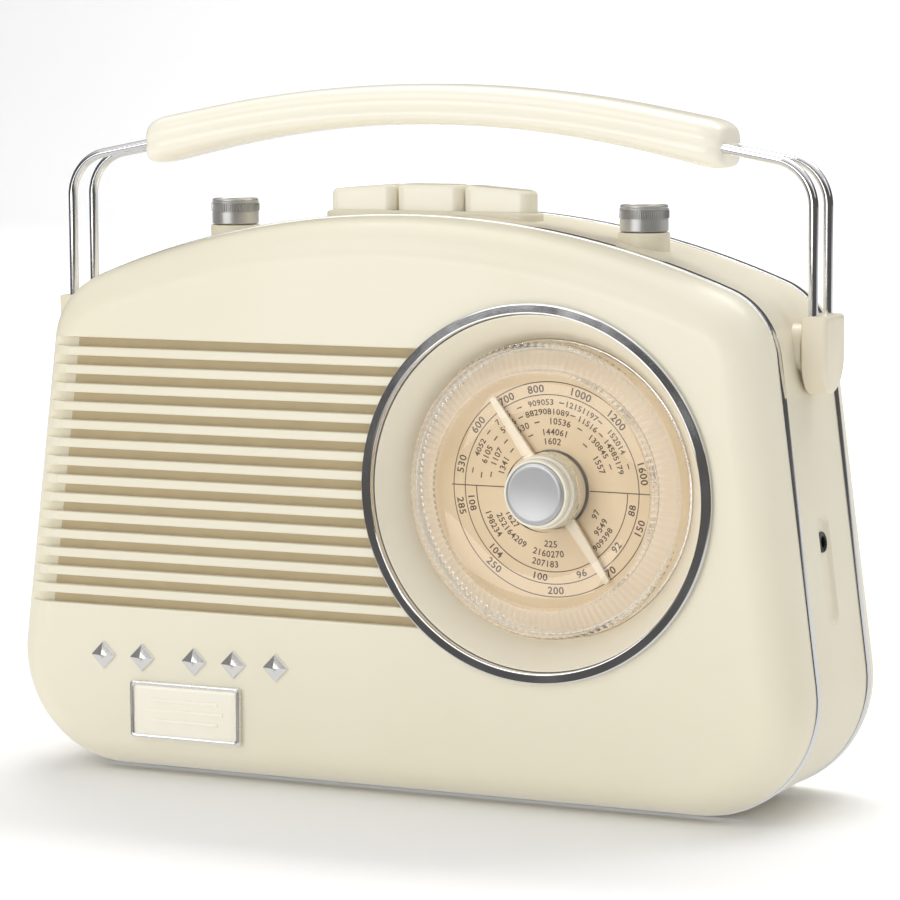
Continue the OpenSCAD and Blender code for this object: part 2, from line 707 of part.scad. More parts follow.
module grip_top() in_case() color(pale_cream) grip_half_solid(1);

module grip_bottom() in_case() color(pale_cream) grip_half_solid(-1);

module grip_screws() in_case() color(steel) for (x = [-grip_screw_x, grip_screw_x])
    translate([x, deck_y, seam_z(x) - 3]) rotate([180, 0, 0]) pan_screw(2.6, pilot_r, 8.5);

// One chrome wire: up from the left block, along the grip and down to the right block
rod_line_z = seam_z(grip_arc_x);
bend_x = rod_x - rod_bend_r;
bend_end_x = bend_x + rod_bend_r * sin(grip_slope);
bend_end_z = rod_line_z - (bend_end_x - grip_arc_x) * tan(grip_slope);
bend_z = bend_end_z - rod_bend_r * cos(grip_slope);

function rod_ring(cx, cz, r, turn, side) = [for (j = [0 : 11]) let (b = 30 * j, q = r + rod_r * cos(b))
    [cx + q * cos(turn), deck_y + side * rod_gap / 2 - rod_r * sin(b), cz + q * sin(turn)]];

module handle_rod_solid(side) loft(concat(
    [rod_ring(-bend_x, rod_foot, rod_bend_r, 180, side)],
    [for (i = [0 : 8]) rod_ring(-bend_x, bend_z, rod_bend_r, 180 - (90 - grip_slope) * i / 8, side)],
    [for (i = [0 : 8]) rod_ring(0, grip_mid_z - grip_arc_r, grip_arc_r, 90 + grip_slope * (1 - i / 4), side)],
    [for (i = [0 : 8]) rod_ring(bend_x, bend_z, rod_bend_r, (90 - grip_slope) * (1 - i / 8), side)],
    [rod_ring(bend_x, rod_foot, rod_bend_r, 0, side)]));

module handle_rod_front() in_case() color(chrome) handle_rod_solid(-1);

module handle_rod_rear() in_case() color(chrome) handle_rod_solid(1);

module handle_block() in_case() color(cream) difference() {
    translate([block_in, deck_y, 0]) rotate([90, 0, 90]) linear_extrude(height = block_t) {
        translate([-block_w / 2, block_low + block_w / 2]) square([block_w, block_top - block_low - block_w / 2]);
        translate([0, block_low + block_w / 2]) circle(r = block_w / 2);
    }
    translate([0, deck_y, pivot_z]) along_x(pivot_r + run_gap, block_in - 1, block_in + block_t - 3);
    for (side = [-1, 1]) translate([rod_x, deck_y + side * rod_gap / 2, rod_foot])
        cylinder(r = rod_r, h = 40, $fn = 24);
}

module handle_block_right() handle_block();

module handle_block_left() mirror([1, 0, 0]) handle_block();

module handle_pivots() in_case() color(steel) for (side = [0, 1]) mirror([side, 0, 0])
    translate([0, deck_y, pivot_z]) {
        along_x(pivot_r, side_x(pivot_z) - 8, block_in + block_t - 3.4);
        along_x(pivot_r + 2, side_x(pivot_z) - 10, side_x(pivot_z) - 7);
    }

// ---- Inside ----

module main_board() in_case() color([0.55, 0.42, 0.2]) difference() {
    translate([-board_w / 2, board_y, board_z]) cube([board_w, board_t, board_h]);
    at_points(board_posts) along_y(screw_clear_r, board_y - 1, board_y + 3);
}

module board_parts() in_case() color([0.75, 0.75, 0.72]) translate([0, board_y, board_z]) {
    for (i = [0 : 4]) translate([-40 + i * 14, -11, 40]) cube([8, 11, 8]);
    for (i = [0 : 3]) translate([-36 + i * 18, 0, 14]) rotate([90, 0, 0]) cylinder(r = 4, h = 11);
    for (i = [0 : 5]) translate([-38 + i * 13, -3, 26]) cube([9, 3, 3.4]);
    translate([34, -4, 12]) cube([9, 4, 19]);
    for (x = [-46, 38]) difference() {
        translate([x, ferrite_y - board_y - 7, board_h]) cube([8, board_y - ferrite_y + 7, 11]);
        translate([0, ferrite_y - board_y, ferrite_z - board_z]) along_x(5, x - 1, x + 9);
    }
}

module ferrite_rod() in_case() color(dark) translate([0, ferrite_y, ferrite_z]) along_x(5, -66, 66);

module aerial_coils() in_case() color(copper) translate([0, ferrite_y, ferrite_z]) for (x = [-30, 12])
    difference() {
        along_x(6.4, x, x + 22);
        along_x(5, x - 1, x + 23);
    }

module transformer() in_case() color([0.4, 0.4, 0.42]) translate([-85, 6, wall]) union() {
    difference() {
        translate([-18, -9, 0]) cube([36, 18, 32]);
        for (x = [-12, 4]) translate([x, -10, 6]) cube([8, 20, 20]);
    }
    translate([-12, -14, 6]) cube([24, 28, 20]);
}

module mains_inlet() in_case() color(dark) translate([inlet_x, rear_y, inlet_z]) {
    difference() {
        union() {
            translate([-11, -14, -7]) cube([22, 14 + touch, 14]);
            translate([-13, 0, -9]) cube([26, 1.2, 18]);
        }
        translate([0, -11, 0]) rotate([-90, 0, 0]) linear_extrude(height = 20) rounded_rect(16, 8.6, 4.29);
    }
    for (x = [-4.6, 4.6]) translate([x, 0, 0]) along_y(1.1, -12, -1.5);
}

module battery_box() in_case() color([0.2, 0.2, 0.2]) difference() {
    translate([-door_w / 2 - box_wall, rear_y - wall - box_depth - box_wall, door_low - box_wall])
        cube([door_w + 2 * box_wall, box_depth + box_wall, door_h + 2 * box_wall]);
    translate([-door_w / 2, rear_y - wall - box_depth, door_low]) cube([door_w, box_depth + 1, door_h]);
    for (side = [-1, 1]) translate([side * (door_w / 2 + 2) - 2.2, rear_y - 5.2, door_low - 2])
        cube([4.4, 6, 7.2]);
}

module battery_cells() in_case() color([0.75, 0.6, 0.3]) for (z = cell_rows, x = [-cell_len, 0])
    translate([0, cell_y, z]) {
        along_x(cell_r, x, x + cell_len - 2);
        along_x(3.5, x + cell_len - 2 - touch, x + cell_len - 0.1);
    }

module battery_contacts() in_case() color([0.7, 0.7, 0.66]) for (z = cell_rows) {
    translate([-door_w / 2, cell_y - 8, z - 8]) cube([0.6, 16, 16]);
    translate([-door_w / 2 + 0.6, cell_y, z]) rotate([0, 90, 0])
        coil_spring(5, 0.45, door_w / 2 - 0.6 - cell_len, 4);
    translate([door_w / 2 - 0.6, cell_y - 8, z - 8]) cube([0.6, 16, 16]);
    translate([cell_len, cell_y - 3, z - 3]) cube([door_w / 2 - 0.6 - cell_len, 6, 6]);
}

module battery_door() in_case() color(cream) {
    difference() {
        union() {
            translate([-door_w / 2 + door_gap, hinge_y - door_t / 2, hinge_z])
                cube([door_w - 2 * door_gap, door_t, door_low + door_h - door_gap - hinge_z]);
            translate([0, hinge_y, hinge_z]) along_x(door_t / 2, -door_w / 2 + door_gap, door_w / 2 - door_gap);
        }
        for (i = [0 : 4]) translate([-12, hinge_y + door_t / 2 - 0.5, door_low + door_h - 8 - i * 2.2])
            cube([24, 1, 1.1]);
    }
    translate([0, hinge_y, hinge_z]) along_x(hinge_pin_r, -door_w / 2 - 2, door_w / 2 + 2);
}

module jack_socket() in_case() color(dark) side_place(jack_z) translate([0, 0, 0]) difference() {
    union() {
        along_x(jack_r + 1.6, -recess_depth - 2, -recess_depth + 0.6);
        translate([-recess_depth - jack_len, -5, -5]) cube([jack_len - 2, 10, 10]);
    }
    along_x(jack_r, -recess_depth - jack_len + 0.6, 1);
}

// ---- Aerial ----

module aerial_bracket() in_case() color(chrome) translate([aerial_x, 0, aerial_z]) difference() {
    along_y(8, rear_y, rear_y + base_t);
    along_y(swivel_pin_r + run_gap, rear_y - 1, rear_y + base_t + 1);
}

module aerial_knuckle() in_case() color(chrome) translate([aerial_x, 0, aerial_z]) {
    along_y(swivel_pin_r, rear_y - wall, swivel_y + touch);
    along_y(6, swivel_y, swivel_y + swivel_t);
    for (side = [0, 1]) mirror([0, 0, side]) translate([0, 0, aerial_r + 0.3]) {
        translate([-ear_out_r, swivel_y + swivel_t - touch, 0])
            cube([2 * ear_out_r, mast_y - swivel_y - swivel_t + touch, 2]);
        translate([0, mast_y, 0]) cylinder(r = ear_out_r, h = 2);
    }
    translate([0, mast_y, -aerial_r - 1]) cylinder(r = tilt_pin_r, h = 2 * aerial_r + 2);
}

module aerial_tube_outer() in_case() color(chrome) translate([aerial_x, mast_y, aerial_z]) difference() {
    union() {
        translate([0, 0, -aerial_r]) cylinder(r = eye_r - 0.4, h = 2 * aerial_r);
        along_x(aerial_r, -aerial_len - 2, -1);
    }
    translate([0, 0, -10]) cylinder(r = tilt_pin_r + run_gap, h = 20);
    along_x(middle_r + run_gap, -aerial_len - 3, -6);
}

module aerial_tube_middle() in_case() color(chrome) translate([aerial_x, mast_y, aerial_z]) difference() {
    along_x(middle_r, -aerial_len - 6, -8);
    along_x(tip_r + run_gap, -aerial_len - 7, -10);
}

module aerial_tip() in_case() color(chrome) translate([aerial_x, mast_y, aerial_z]) union() {
    along_x(tip_r, -aerial_len - 8, -12);
    along_x(aerial_r - 0.2, -aerial_len - 12, -aerial_len - 8 + touch);
}

front_shell();
middle_band();
rear_shell();
chrome_trims();
feet();
screws();
grille_cloth();
speaker_baffle();
speaker_basket();
speaker_magnet();
speaker_cone();
name_studs();
name_plate();
name_plate_frame();
dial_bezel();
dial_surround();
dial_plate();
dial_lens();
tuning_knob();
tuning_cap();
pointer();
tuning_shaft();
tuning_gang();
volume_knob();
volume_spindle();
tone_knob();
tone_spindle();
control_pots();
key_left();
key_middle();
key_right();
key_spring_left();
key_spring_middle();
key_spring_right();
switch_bank();
grip_top();
grip_bottom();
grip_screws();
handle_rod_front();
handle_rod_rear();
handle_block_left();
handle_block_right();
handle_pivots();
main_board();
board_parts();
ferrite_rod();
aerial_coils();
transformer();
mains_inlet();
battery_box();
battery_cells();
battery_contacts();
battery_door();
jack_socket();
aerial_bracket();
aerial_knuckle();
aerial_tube_outer();
aerial_tube_middle();
aerial_tip();
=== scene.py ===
"""Portable table radio: the looks, piece by piece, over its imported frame."""
import math

import bmesh
import bpy
import numpy as np
from mathutils import Matrix, Vector


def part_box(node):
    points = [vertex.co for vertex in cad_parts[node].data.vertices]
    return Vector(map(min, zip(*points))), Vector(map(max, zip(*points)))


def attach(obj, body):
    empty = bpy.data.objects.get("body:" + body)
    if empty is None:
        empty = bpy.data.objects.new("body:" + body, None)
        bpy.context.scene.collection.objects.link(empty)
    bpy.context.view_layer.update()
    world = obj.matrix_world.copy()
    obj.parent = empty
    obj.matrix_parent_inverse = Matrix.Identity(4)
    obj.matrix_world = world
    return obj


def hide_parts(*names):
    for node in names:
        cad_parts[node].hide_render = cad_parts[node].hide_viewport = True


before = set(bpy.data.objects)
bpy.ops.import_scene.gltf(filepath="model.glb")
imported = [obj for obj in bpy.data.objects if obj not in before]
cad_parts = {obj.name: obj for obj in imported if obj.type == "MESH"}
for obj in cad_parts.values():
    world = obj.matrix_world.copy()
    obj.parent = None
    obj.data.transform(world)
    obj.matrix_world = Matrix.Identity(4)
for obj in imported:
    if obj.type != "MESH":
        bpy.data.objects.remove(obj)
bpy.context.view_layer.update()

MM = 0.001
scene = bpy.context.scene


# ---- Table, light and camera ----
# A pale sheet swept up far behind the radio, one large soft light above and in front, weaker ones
# overhead, low in front and on the right, and a camera a metre away, to the right and a little above.

case_low, case_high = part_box("front_shell")
front_y, seam_y = case_low.y, case_high.y
under_z = case_low.z


def wire(tree, kind, feeds=None, **settings):
    made = tree.nodes.new(kind)
    for name, value in settings.items():
        setattr(made, name, value)
    for key, value in (feeds or {}).items():
        if isinstance(value, bpy.types.NodeSocket):
            tree.links.new(value, made.inputs[key])
        else:
            made.inputs[key].default_value = value
    return made


def reckon(tree, operation, *feeds):
    """The result of a maths node whose inputs are fed in order."""
    return wire(tree, "ShaderNodeMath", dict(enumerate(feeds)), operation=operation).outputs[0]


def mixed(tree, share, first, second):
    """The colour between two, by a share from 0 to 1."""
    return wire(tree, "ShaderNodeMix", {0: share, 6: first, 7: second}, data_type="RGBA").outputs[2]


def eased(tree, value, low, high, start=0.0, end=1.0):
    """A number brought smoothly from start to end as value goes from low to high."""
    feeds = {0: value, 1: low, 2: high, 3: start, 4: end}
    return wire(tree, "ShaderNodeMapRange", feeds, interpolation_type="SMOOTHSTEP").outputs[0]


def solid_from(name, points, faces, material=None, sharp=40):
    mesh = bpy.data.meshes.new(name)
    mesh.from_pydata([tuple(p) for p in points], [], faces)
    mesh.update()
    if material:
        mesh.materials.append(material)
    mesh.shade_smooth()
    mesh.set_sharp_from_angle(angle=math.radians(sharp))
    made = bpy.data.objects.new(name, mesh)
    scene.collection.objects.link(made)
    return made


sweep_material = bpy.data.materials.new("table_sheet")
sweep_material.use_nodes = True
sheet_nodes = sweep_material.node_tree
sheet_skin = sheet_nodes.nodes["Principled BSDF"]
sheet_skin.inputs["Base Color"].default_value = (0.96, 0.96, 0.96, 1)
sheet_skin.inputs["Roughness"].default_value = 0.62
sheet_skin.inputs["Specular IOR Level"].default_value = 0.25

sweep_line = [(-3.6, 0.0), (3.2, 0.0)]
sweep_line += [(3.2 + 0.8 * math.sin(a), 0.8 - 0.8 * math.cos(a)) for a in np.linspace(0.1, math.pi / 2, 12)]
sweep_line += [(4.0, 3.6)]
sweep = solid_from(
    "table_sheet",
    [(x, y, z) for x in (-4.0, 4.0) for y, z in sweep_line],
    [(i, i + len(sweep_line), i + len(sweep_line) + 1, i + 1) for i in range(len(sweep_line) - 1)],
    sweep_material)
sweep.visible_glossy = False

sky = bpy.data.worlds.new("studio")
sky.use_nodes = True
scene.world = sky
sky_nodes = sky.node_tree
place = wire(sky_nodes, "ShaderNodeTexCoord")
parts_of = wire(sky_nodes, "ShaderNodeSeparateXYZ", {0: place.outputs["Generated"]})
above = eased(sky_nodes, parts_of.outputs["Z"], 0.3, 0.8, start=0.0, end=0.9)
below = eased(sky_nodes, parts_of.outputs["Z"], -0.2, -0.45, start=0.0, end=0.8)
behind = wire(sky_nodes, "ShaderNodeMapRange", {0: parts_of.outputs["Y"], 1: 0.1, 2: 0.4, 3: 0.0, 4: 0.8})
low_down = wire(sky_nodes, "ShaderNodeMapRange", {0: parts_of.outputs["Z"], 1: -0.03, 2: -0.05, 3: 0.0, 4: 1.0})
table_far = reckon(sky_nodes, "MULTIPLY", behind.outputs[0], low_down.outputs[0])
lower = reckon(sky_nodes, "MAXIMUM", table_far, below)
ends = reckon(sky_nodes, "MAXIMUM", above, lower)
studio = mixed(sky_nodes, ends, (0.1, 0.097, 0.093, 1), (1, 1, 1, 1))
ray = wire(sky_nodes, "ShaderNodeLightPath")
seen = mixed(sky_nodes, ray.outputs["Is Glossy Ray"], (0.5, 0.5, 0.5, 1), studio)
shown = mixed(sky_nodes, ray.outputs["Is Camera Ray"], seen, (1, 1, 1, 1))
sky_nodes.links.new(shown, sky_nodes.nodes["Background"].inputs["Color"])
sky_nodes.nodes["Background"].inputs["Strength"].default_value = 1.0


def soft_light(name, at, towards, size, power, tone=(1, 1, 1)):
    lamp = bpy.data.lights.new(name, "AREA")
    lamp.shape, lamp.size, lamp.size_y = "RECTANGLE", size[0], size[1]
    lamp.energy, lamp.color = power, tone
    made = bpy.data.objects.new(name, lamp)
    scene.collection.objects.link(made)
    made.location = at
    made.rotation_mode = "QUATERNION"
    made.rotation_quaternion = (Vector(towards) - Vector(at)).to_track_quat("-Z", "Y")
    return made


soft_light("main_light", (-0.9, -1.6, 1.7), (0, 0, 0.1), (1.5, 1.1), 9.5)
soft_light("top_light", (0.1, 0.3, 1.9), (0, 0, 0.1), (1.6, 1.2), 7)
soft_light("right_light", (1.9, -0.2, 1.1), (0, 0, 0.1), (0.5, 1.0), 2)
soft_light("low_light", (-0.6, -2.0, 0.35), (0, 0, 0.1), (1.6, 0.6), 9.5)
soft_light("sheet_light", (0.0, 1.6, 2.8), (0, 2.6, 0.2), (3.4, 1.2), 90)

turn, tip, roll = math.radians(25.775), math.radians(6.409), math.radians(-0.303)
ahead = Vector((-math.sin(turn) * math.cos(tip), math.cos(turn) * math.cos(tip), -math.sin(tip)))
across = Vector((math.cos(turn), math.sin(turn), 0))
upward = across.cross(ahead)
camera_x = math.cos(roll) * across + math.sin(roll) * upward
camera_y = math.cos(roll) * upward - math.sin(roll) * across
lens = bpy.data.cameras.new("camera")
lens.sensor_width, lens.lens = 36, 145.72
lens.clip_start, lens.clip_end = 0.05, 20
camera = bpy.data.objects.new("camera", lens)
scene.collection.objects.link(camera)
camera.matrix_world = Matrix.Translation((0.5236, front_y - 1.034, under_z + 0.2427)) @ Matrix(
    (camera_x, camera_y, -ahead)).transposed().to_4x4()
scene.camera = camera
scene.view_settings.view_transform = "Standard"


# ---- Front shell ----
# One moulding in satin cream plastic, with soft rounded edges, a round opening for the dial and
# fifteen slots cut straight back, whose bars have slightly rounded edges.

half_w = (case_high.x - case_low.x) / 2
tall = case_high.z - case_low.z
arch_r, upper_r, lower_r, lean = 305 * MM, 25 * MM, 38 * MM, math.radians(7.4)
edge_r, edge_depth, wall = 14 * MM, seam_y - front_y, 2.5 * MM
corner_x = half_w - lower_r
side_reach = corner_x * math.cos(lean) + lower_r * math.sin(lean) + lower_r
arch_z = tall - arch_r
arch_turn = lean + math.acos((side_reach - upper_r - arch_z * math.sin(lean)) / (arch_r - upper_r))
upper_at = ((arch_r - upper_r) * math.cos(arch_turn), arch_z + (arch_r - upper_r) * math.sin(arch_turn))


def case_ring(inset, y):
    """The case's outline pulled in by inset, as points at a depth y: two lower corners, two leaning
    sides, two upper corners and the arch."""
    stretches = [
        (corner_x, lower_r, lower_r, -math.pi / 2, lean, 18, False),
        (*upper_at, upper_r, lean, arch_turn, 22, False),
        (0, arch_z, arch_r, arch_turn, math.pi - arch_turn, 44, True),
        (-upper_at[0], upper_at[1], upper_r, math.pi - arch_turn, math.pi - lean, 22, False),
        (-corner_x, lower_r, lower_r, math.pi - lean, 3 * math.pi / 2, 18, False)]
    points = []
    for cx, cz, r, a0, a1, steps, open_ends in stretches:
        turns = np.linspace(a0, a1, steps + 1)
        for a in (turns[1:-1] if open_ends else turns):
            points.append((cx + (r - inset) * math.cos(a), y, under_z + cz + (r - inset) * math.sin(a)))
    return points


def side_at(z):
    return (side_reach - (z - under_z) * math.sin(lean)) / math.cos(lean)


def deck_at(x):
    return under_z + arch_z + math.sqrt(arch_r ** 2 - x * x)


def bridge(rings, loop=False, caps=True):
    """Points and faces that join each ring to the next."""
    n = len(rings[0])
    points = [p for ring in rings for p in ring]
    faces = []
    for j in range(len(rings) if loop else len(rings) - 1):
        a, b = j * n, (j + 1) % len(rings) * n
        faces += [(a + i, b + i, b + (i + 1) % n, a + (i + 1) % n) for i in range(n)]
    if caps and not loop:
        faces.append(tuple(range(n)))
        faces.append(tuple(range((len(rings) - 1) * n + n - 1, (len(rings) - 1) * n - 1, -1)))
    return points, faces


def settled(thing, sharp=None, even=False):
    """Turns what the modifiers make into the piece's own plain mesh."""
    if even:
        weigh = thing.modifiers.new("even", "WEIGHTED_NORMAL")
        weigh.keep_sharp, weigh.weight = True, 80
    graph = bpy.context.evaluated_depsgraph_get()
    mesh = bpy.data.meshes.new_from_object(thing.evaluated_get(graph))
    thing.modifiers.clear()
    old, thing.data = thing.data, mesh
    name = old.name
    bpy.data.meshes.remove(old)
    mesh.name = name
    if sharp:
        mesh.shade_smooth()
        mesh.set_sharp_from_angle(angle=math.radians(sharp))
    return thing


def face_out(thing):
    work = bmesh.new()
    work.from_mesh(thing.data)
    bmesh.ops.recalc_face_normals(work, faces=work.faces)
    work.to_mesh(thing.data)
    work.free()
    return thing


def lofted(name, rings, material=None, sharp=40, loop=False):
    """A closed solid drawn through rings of points."""
    return face_out(solid_from(name, *bridge(rings, loop), material, sharp))


def joined(name, things):
    """Makes one mesh of several pieces of one material."""
    base = things[0]
    with bpy.context.temp_override(active_object=base, selected_editable_objects=things,
                                   selected_objects=things):
        bpy.ops.object.join()
    base.name = base.data.name = name
    return base


def carve(thing, cutters, sharp=35):
    """Cuts the cutters out of a piece, and evens the shading of what is left."""
    for cutter in cutters:
        cut = thing.modifiers.new("cut", "BOOLEAN")
        cut.operation, cut.solver, cut.object = "DIFFERENCE", "EXACT", cutter
    settled(thing, sharp)
    for cutter in cutters:
        old = cutter.data
        bpy.data.objects.remove(cutter)
        bpy.data.meshes.remove(old)
    return settled(thing, even=True)


def rounded_rings(inset, front, seam, steps=20):
    """Rings over the rounded edge, from the seam plane to the flat face."""
    sign = 1 if seam > front else -1
    r, depth = edge_r - inset, edge_depth - inset
    return [case_ring(inset + r * (1 - math.cos(a)), seam - sign * depth * math.sin(a))
            for a in np.linspace(0, math.pi / 2, steps + 1)]


def shell_piece(name, front, seam, material):
    outer = rounded_rings(0, front, seam)
    inner = rounded_rings(wall, front, seam)
    return lofted(name, list(reversed(inner)) + outer, material, 60)


def round_bar(name, r, y0, y1, cx, cz, steps=128):
    turns = [2 * math.pi * i / steps for i in range(steps)]
    rings = [[(cx + r * math.cos(a), y, cz + r * math.sin(a)) for a in turns] for y in (y0, y1)]
    return lofted(name, rings)


def effect(name, inputs):
    """A named shader group with its sockets, ready to be filled."""
    kinds = {"colour": "NodeSocketColor", "value": "NodeSocketFloat", "vector": "NodeSocketVector"}
    tree = bpy.data.node_groups.new(name, "ShaderNodeTree")
    for key, (kind, default) in inputs.items():
        socket = tree.interface.new_socket(name=key, in_out="INPUT", socket_type=kinds[kind])
        if default is not None:
            socket.default_value = default
    for key, kind in (("Color", "colour"), ("Roughness", "value"), ("Height", "value")):
        tree.interface.new_socket(name=key, in_out="OUTPUT", socket_type=kinds[kind])
    return tree, wire(tree, "NodeGroupInput"), wire(tree, "NodeGroupOutput")


def put_out(tree, gives, colour, roughness, height):
    """Joins what an effect makes to the group's outputs."""
    for key, made in (("Color", colour), ("Roughness", roughness), ("Height", height)):
        tree.links.new(made, gives.inputs[key])


# Moulded plastic: slow changes of tone, a fine skin from the mould and rubbed, duller patches
moulded_skin, fed, gives = effect(
    "moulded_skin",
    {"Tone": ("colour", (0.8, 0.8, 0.8, 1)), "Shade": ("colour", (0.7, 0.7, 0.7, 1)), "Patch": ("value", 9.0),
     "Grain": ("value", 900.0), "Gloss": ("value", 0.3), "Rub": ("value", 0.12)})
spot = wire(moulded_skin, "ShaderNodeTexCoord")
slow = wire(moulded_skin, "ShaderNodeTexNoise",
            {"Vector": spot.outputs["Object"], "Scale": fed.outputs["Patch"], "Detail": 3.0})
fine = wire(moulded_skin, "ShaderNodeTexNoise",
            {"Vector": spot.outputs["Object"], "Scale": fed.outputs["Grain"], "Detail": 2.0})
rubbed = wire(moulded_skin, "ShaderNodeTexNoise",
              {"Vector": spot.outputs["Object"], "Scale": 46.0, "Detail": 5.0, "Roughness": 0.6})
blend = eased(moulded_skin, slow.outputs["Fac"], 0.35, 0.65)
tint = mixed(moulded_skin, blend, fed.outputs["Tone"], fed.outputs["Shade"])
spread = reckon(moulded_skin, "SUBTRACT", rubbed.outputs["Fac"], 0.5)
dulled = reckon(moulded_skin, "MULTIPLY_ADD", spread, fed.outputs["Rub"], fed.outputs["Gloss"])
put_out(moulded_skin, gives, tint, dulled, fine.outputs["Fac"])


def finish_with(name, group, values, bump=0.0, plain=None):
    """A material whose look comes from an effect group; plain values go on the shader's own sockets."""
    made = bpy.data.materials.new(name)
    made.use_nodes = True
    tree = made.node_tree
    skin = tree.nodes["Principled BSDF"]
    look = wire(tree, "ShaderNodeGroup", node_tree=group)
    for key, value in values.items():
        look.inputs[key].default_value = value
    tree.links.new(look.outputs["Color"], skin.inputs["Base Color"])
    tree.links.new(look.outputs["Roughness"], skin.inputs["Roughness"])
    if bump:
        dent = wire(tree, "ShaderNodeBump", {"Height": look.outputs["Height"], "Strength": 1.0,
                                             "Distance": bump})
        tree.links.new(dent.outputs["Normal"], skin.inputs["Normal"])
    for key, value in (plain or {}).items():
        skin.inputs[key].default_value = value
    return made


def from_screen(red, green, blue):
    """A colour as seen on a screen, 0 to 255, as the linear colour a material takes."""
    lin = [((c / 255 + 0.055) / 1.055) ** 2.4 if c > 10 else c / 255 / 12.92 for c in (red, green, blue)]
    return (*lin, 1)


cream_case = finish_with(
    "cream_case", moulded_skin,
    {"Tone": from_screen(236, 230, 209), "Shade": from_screen(233, 226, 203), "Gloss": 0.36, "Rub": 0.1},
    bump=0.00002, plain={"Specular IOR Level": 0.45, "Coat Weight": 0.12, "Coat Roughness": 0.2})

dial_low, dial_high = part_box("dial_bezel")
dial_x, dial_z = (dial_low.x + dial_high.x) / 2, (dial_low.z + dial_high.z) / 2
opening_r = 57.6 * MM
slot_count, slot_h, slot_pitch, slot_depth = 15, 3.1 * MM, 6.18 * MM, 3.5 * MM
slot_top = under_z + 145.5 * MM

front_shell = shell_piece("front_shell_skin", front_y, seam_y, cream_case)

# one slot's cutter, wider at the face so that the bars' edges come out rounded
bar_edge = 0.7 * MM
half_slot = slot_h / 2
slot_line = [(slot_depth, half_slot)]
slot_line += [(bar_edge - bar_edge * math.sin(t), half_slot + bar_edge - bar_edge * math.cos(t))
              for t in np.linspace(0, math.pi / 2, 6)]
slot_line += [(-2 * MM, half_slot + bar_edge)]
slot_line += [(y, -z) for y, z in reversed(slot_line)]
slot_rings = [[(x, front_y + y, slot_top - half_slot + z) for y, z in slot_line] for x in (-0.16, dial_x)]
slot_points, slot_faces = bridge(slot_rings)
slots = face_out(solid_from("slots", slot_points, slot_faces))



def rule(name, inputs, output):
    """A geometry tree with its named inputs, and the node that gives them."""
    tree = bpy.data.node_groups.new(name, "GeometryNodeTree")
    for key, kind in inputs.items():
        tree.interface.new_socket(name=key, in_out="INPUT", socket_type="NodeSocket" + kind)
    tree.interface.new_socket(name=output, in_out="OUTPUT", socket_type="NodeSocketGeometry")
    return tree, wire(tree, "NodeGroupInput")


slot_tree, fed = rule("slots_down_the_front", {"Slot": "Geometry", "Count": "Int", "Pitch": "Float",
                                               "Dial X": "Float",
                                               "Dial Z": "Float", "Stop Radius": "Float"}, "Slots")
drop = reckon(slot_tree, "MULTIPLY", fed.outputs["Pitch"], -1.0)
step = wire(slot_tree, "ShaderNodeCombineXYZ", {"Z": drop})
column = wire(slot_tree, "GeometryNodeMeshLine", {"Count": fed.outputs["Count"], "Offset": step.outputs[0]})
copies = wire(slot_tree, "GeometryNodeInstanceOnPoints",
              {"Points": column.outputs["Mesh"], "Instance": fed.outputs["Slot"]})
real = wire(slot_tree, "GeometryNodeRealizeInstances", {"Geometry": copies.outputs["Instances"]})
where = wire(slot_tree, "GeometryNodeInputPosition")
axes = wire(slot_tree, "ShaderNodeSeparateXYZ", {0: where.outputs[0]})
rise = reckon(slot_tree, "SUBTRACT", axes.outputs["Z"], fed.outputs["Dial Z"])
rise2 = reckon(slot_tree, "MULTIPLY", rise, rise)
stop2 = reckon(slot_tree, "MULTIPLY", fed.outputs["Stop Radius"], fed.outputs["Stop Radius"])
left2 = reckon(slot_tree, "SUBTRACT", stop2, rise2)
left1 = reckon(slot_tree, "SQRT", left2)
limit = reckon(slot_tree, "SUBTRACT", fed.outputs["Dial X"], left1)
held = reckon(slot_tree, "MINIMUM", axes.outputs["X"], limit)
moved = wire(slot_tree, "ShaderNodeCombineXYZ",
             {"X": held, "Y": axes.outputs["Y"], "Z": axes.outputs["Z"]})
shaped = wire(slot_tree, "GeometryNodeSetPosition", {"Geometry": real.outputs[0], "Position": moved.outputs[0]})
coated = wire(slot_tree, "GeometryNodeSetMaterial", {"Geometry": shaped.outputs[0], "Material": cream_case})
slot_tree.links.new(coated.outputs[0], wire(slot_tree, "NodeGroupOutput").inputs[0])


def grow(thing, tree, values):
    """Runs a geometry tree on a piece, with its inputs set by their identifiers, and keeps the plain mesh."""
    maker = thing.modifiers.new(tree.name, "NODES")
    maker.node_group = tree
    keys = {s.name: s.identifier for s in tree.interface.items_tree
            if s.item_type == "SOCKET" and s.in_out == "INPUT"}
    for name, value in values.items():
        maker[keys[name]] = value
    return settled(thing)


grow(slots, slot_tree, {"Count": slot_count, "Pitch": slot_pitch, "Dial X": dial_x, "Dial Z": dial_z,
                        "Stop Radius": opening_r + 1.2 * MM})
slots.data.materials.clear()
face_out(slots)
dial_hole = round_bar("dial_hole", opening_r, front_y - 5 * MM, front_y + 20 * MM, dial_x, dial_z, 160)
carve(front_shell, [dial_hole, slots])

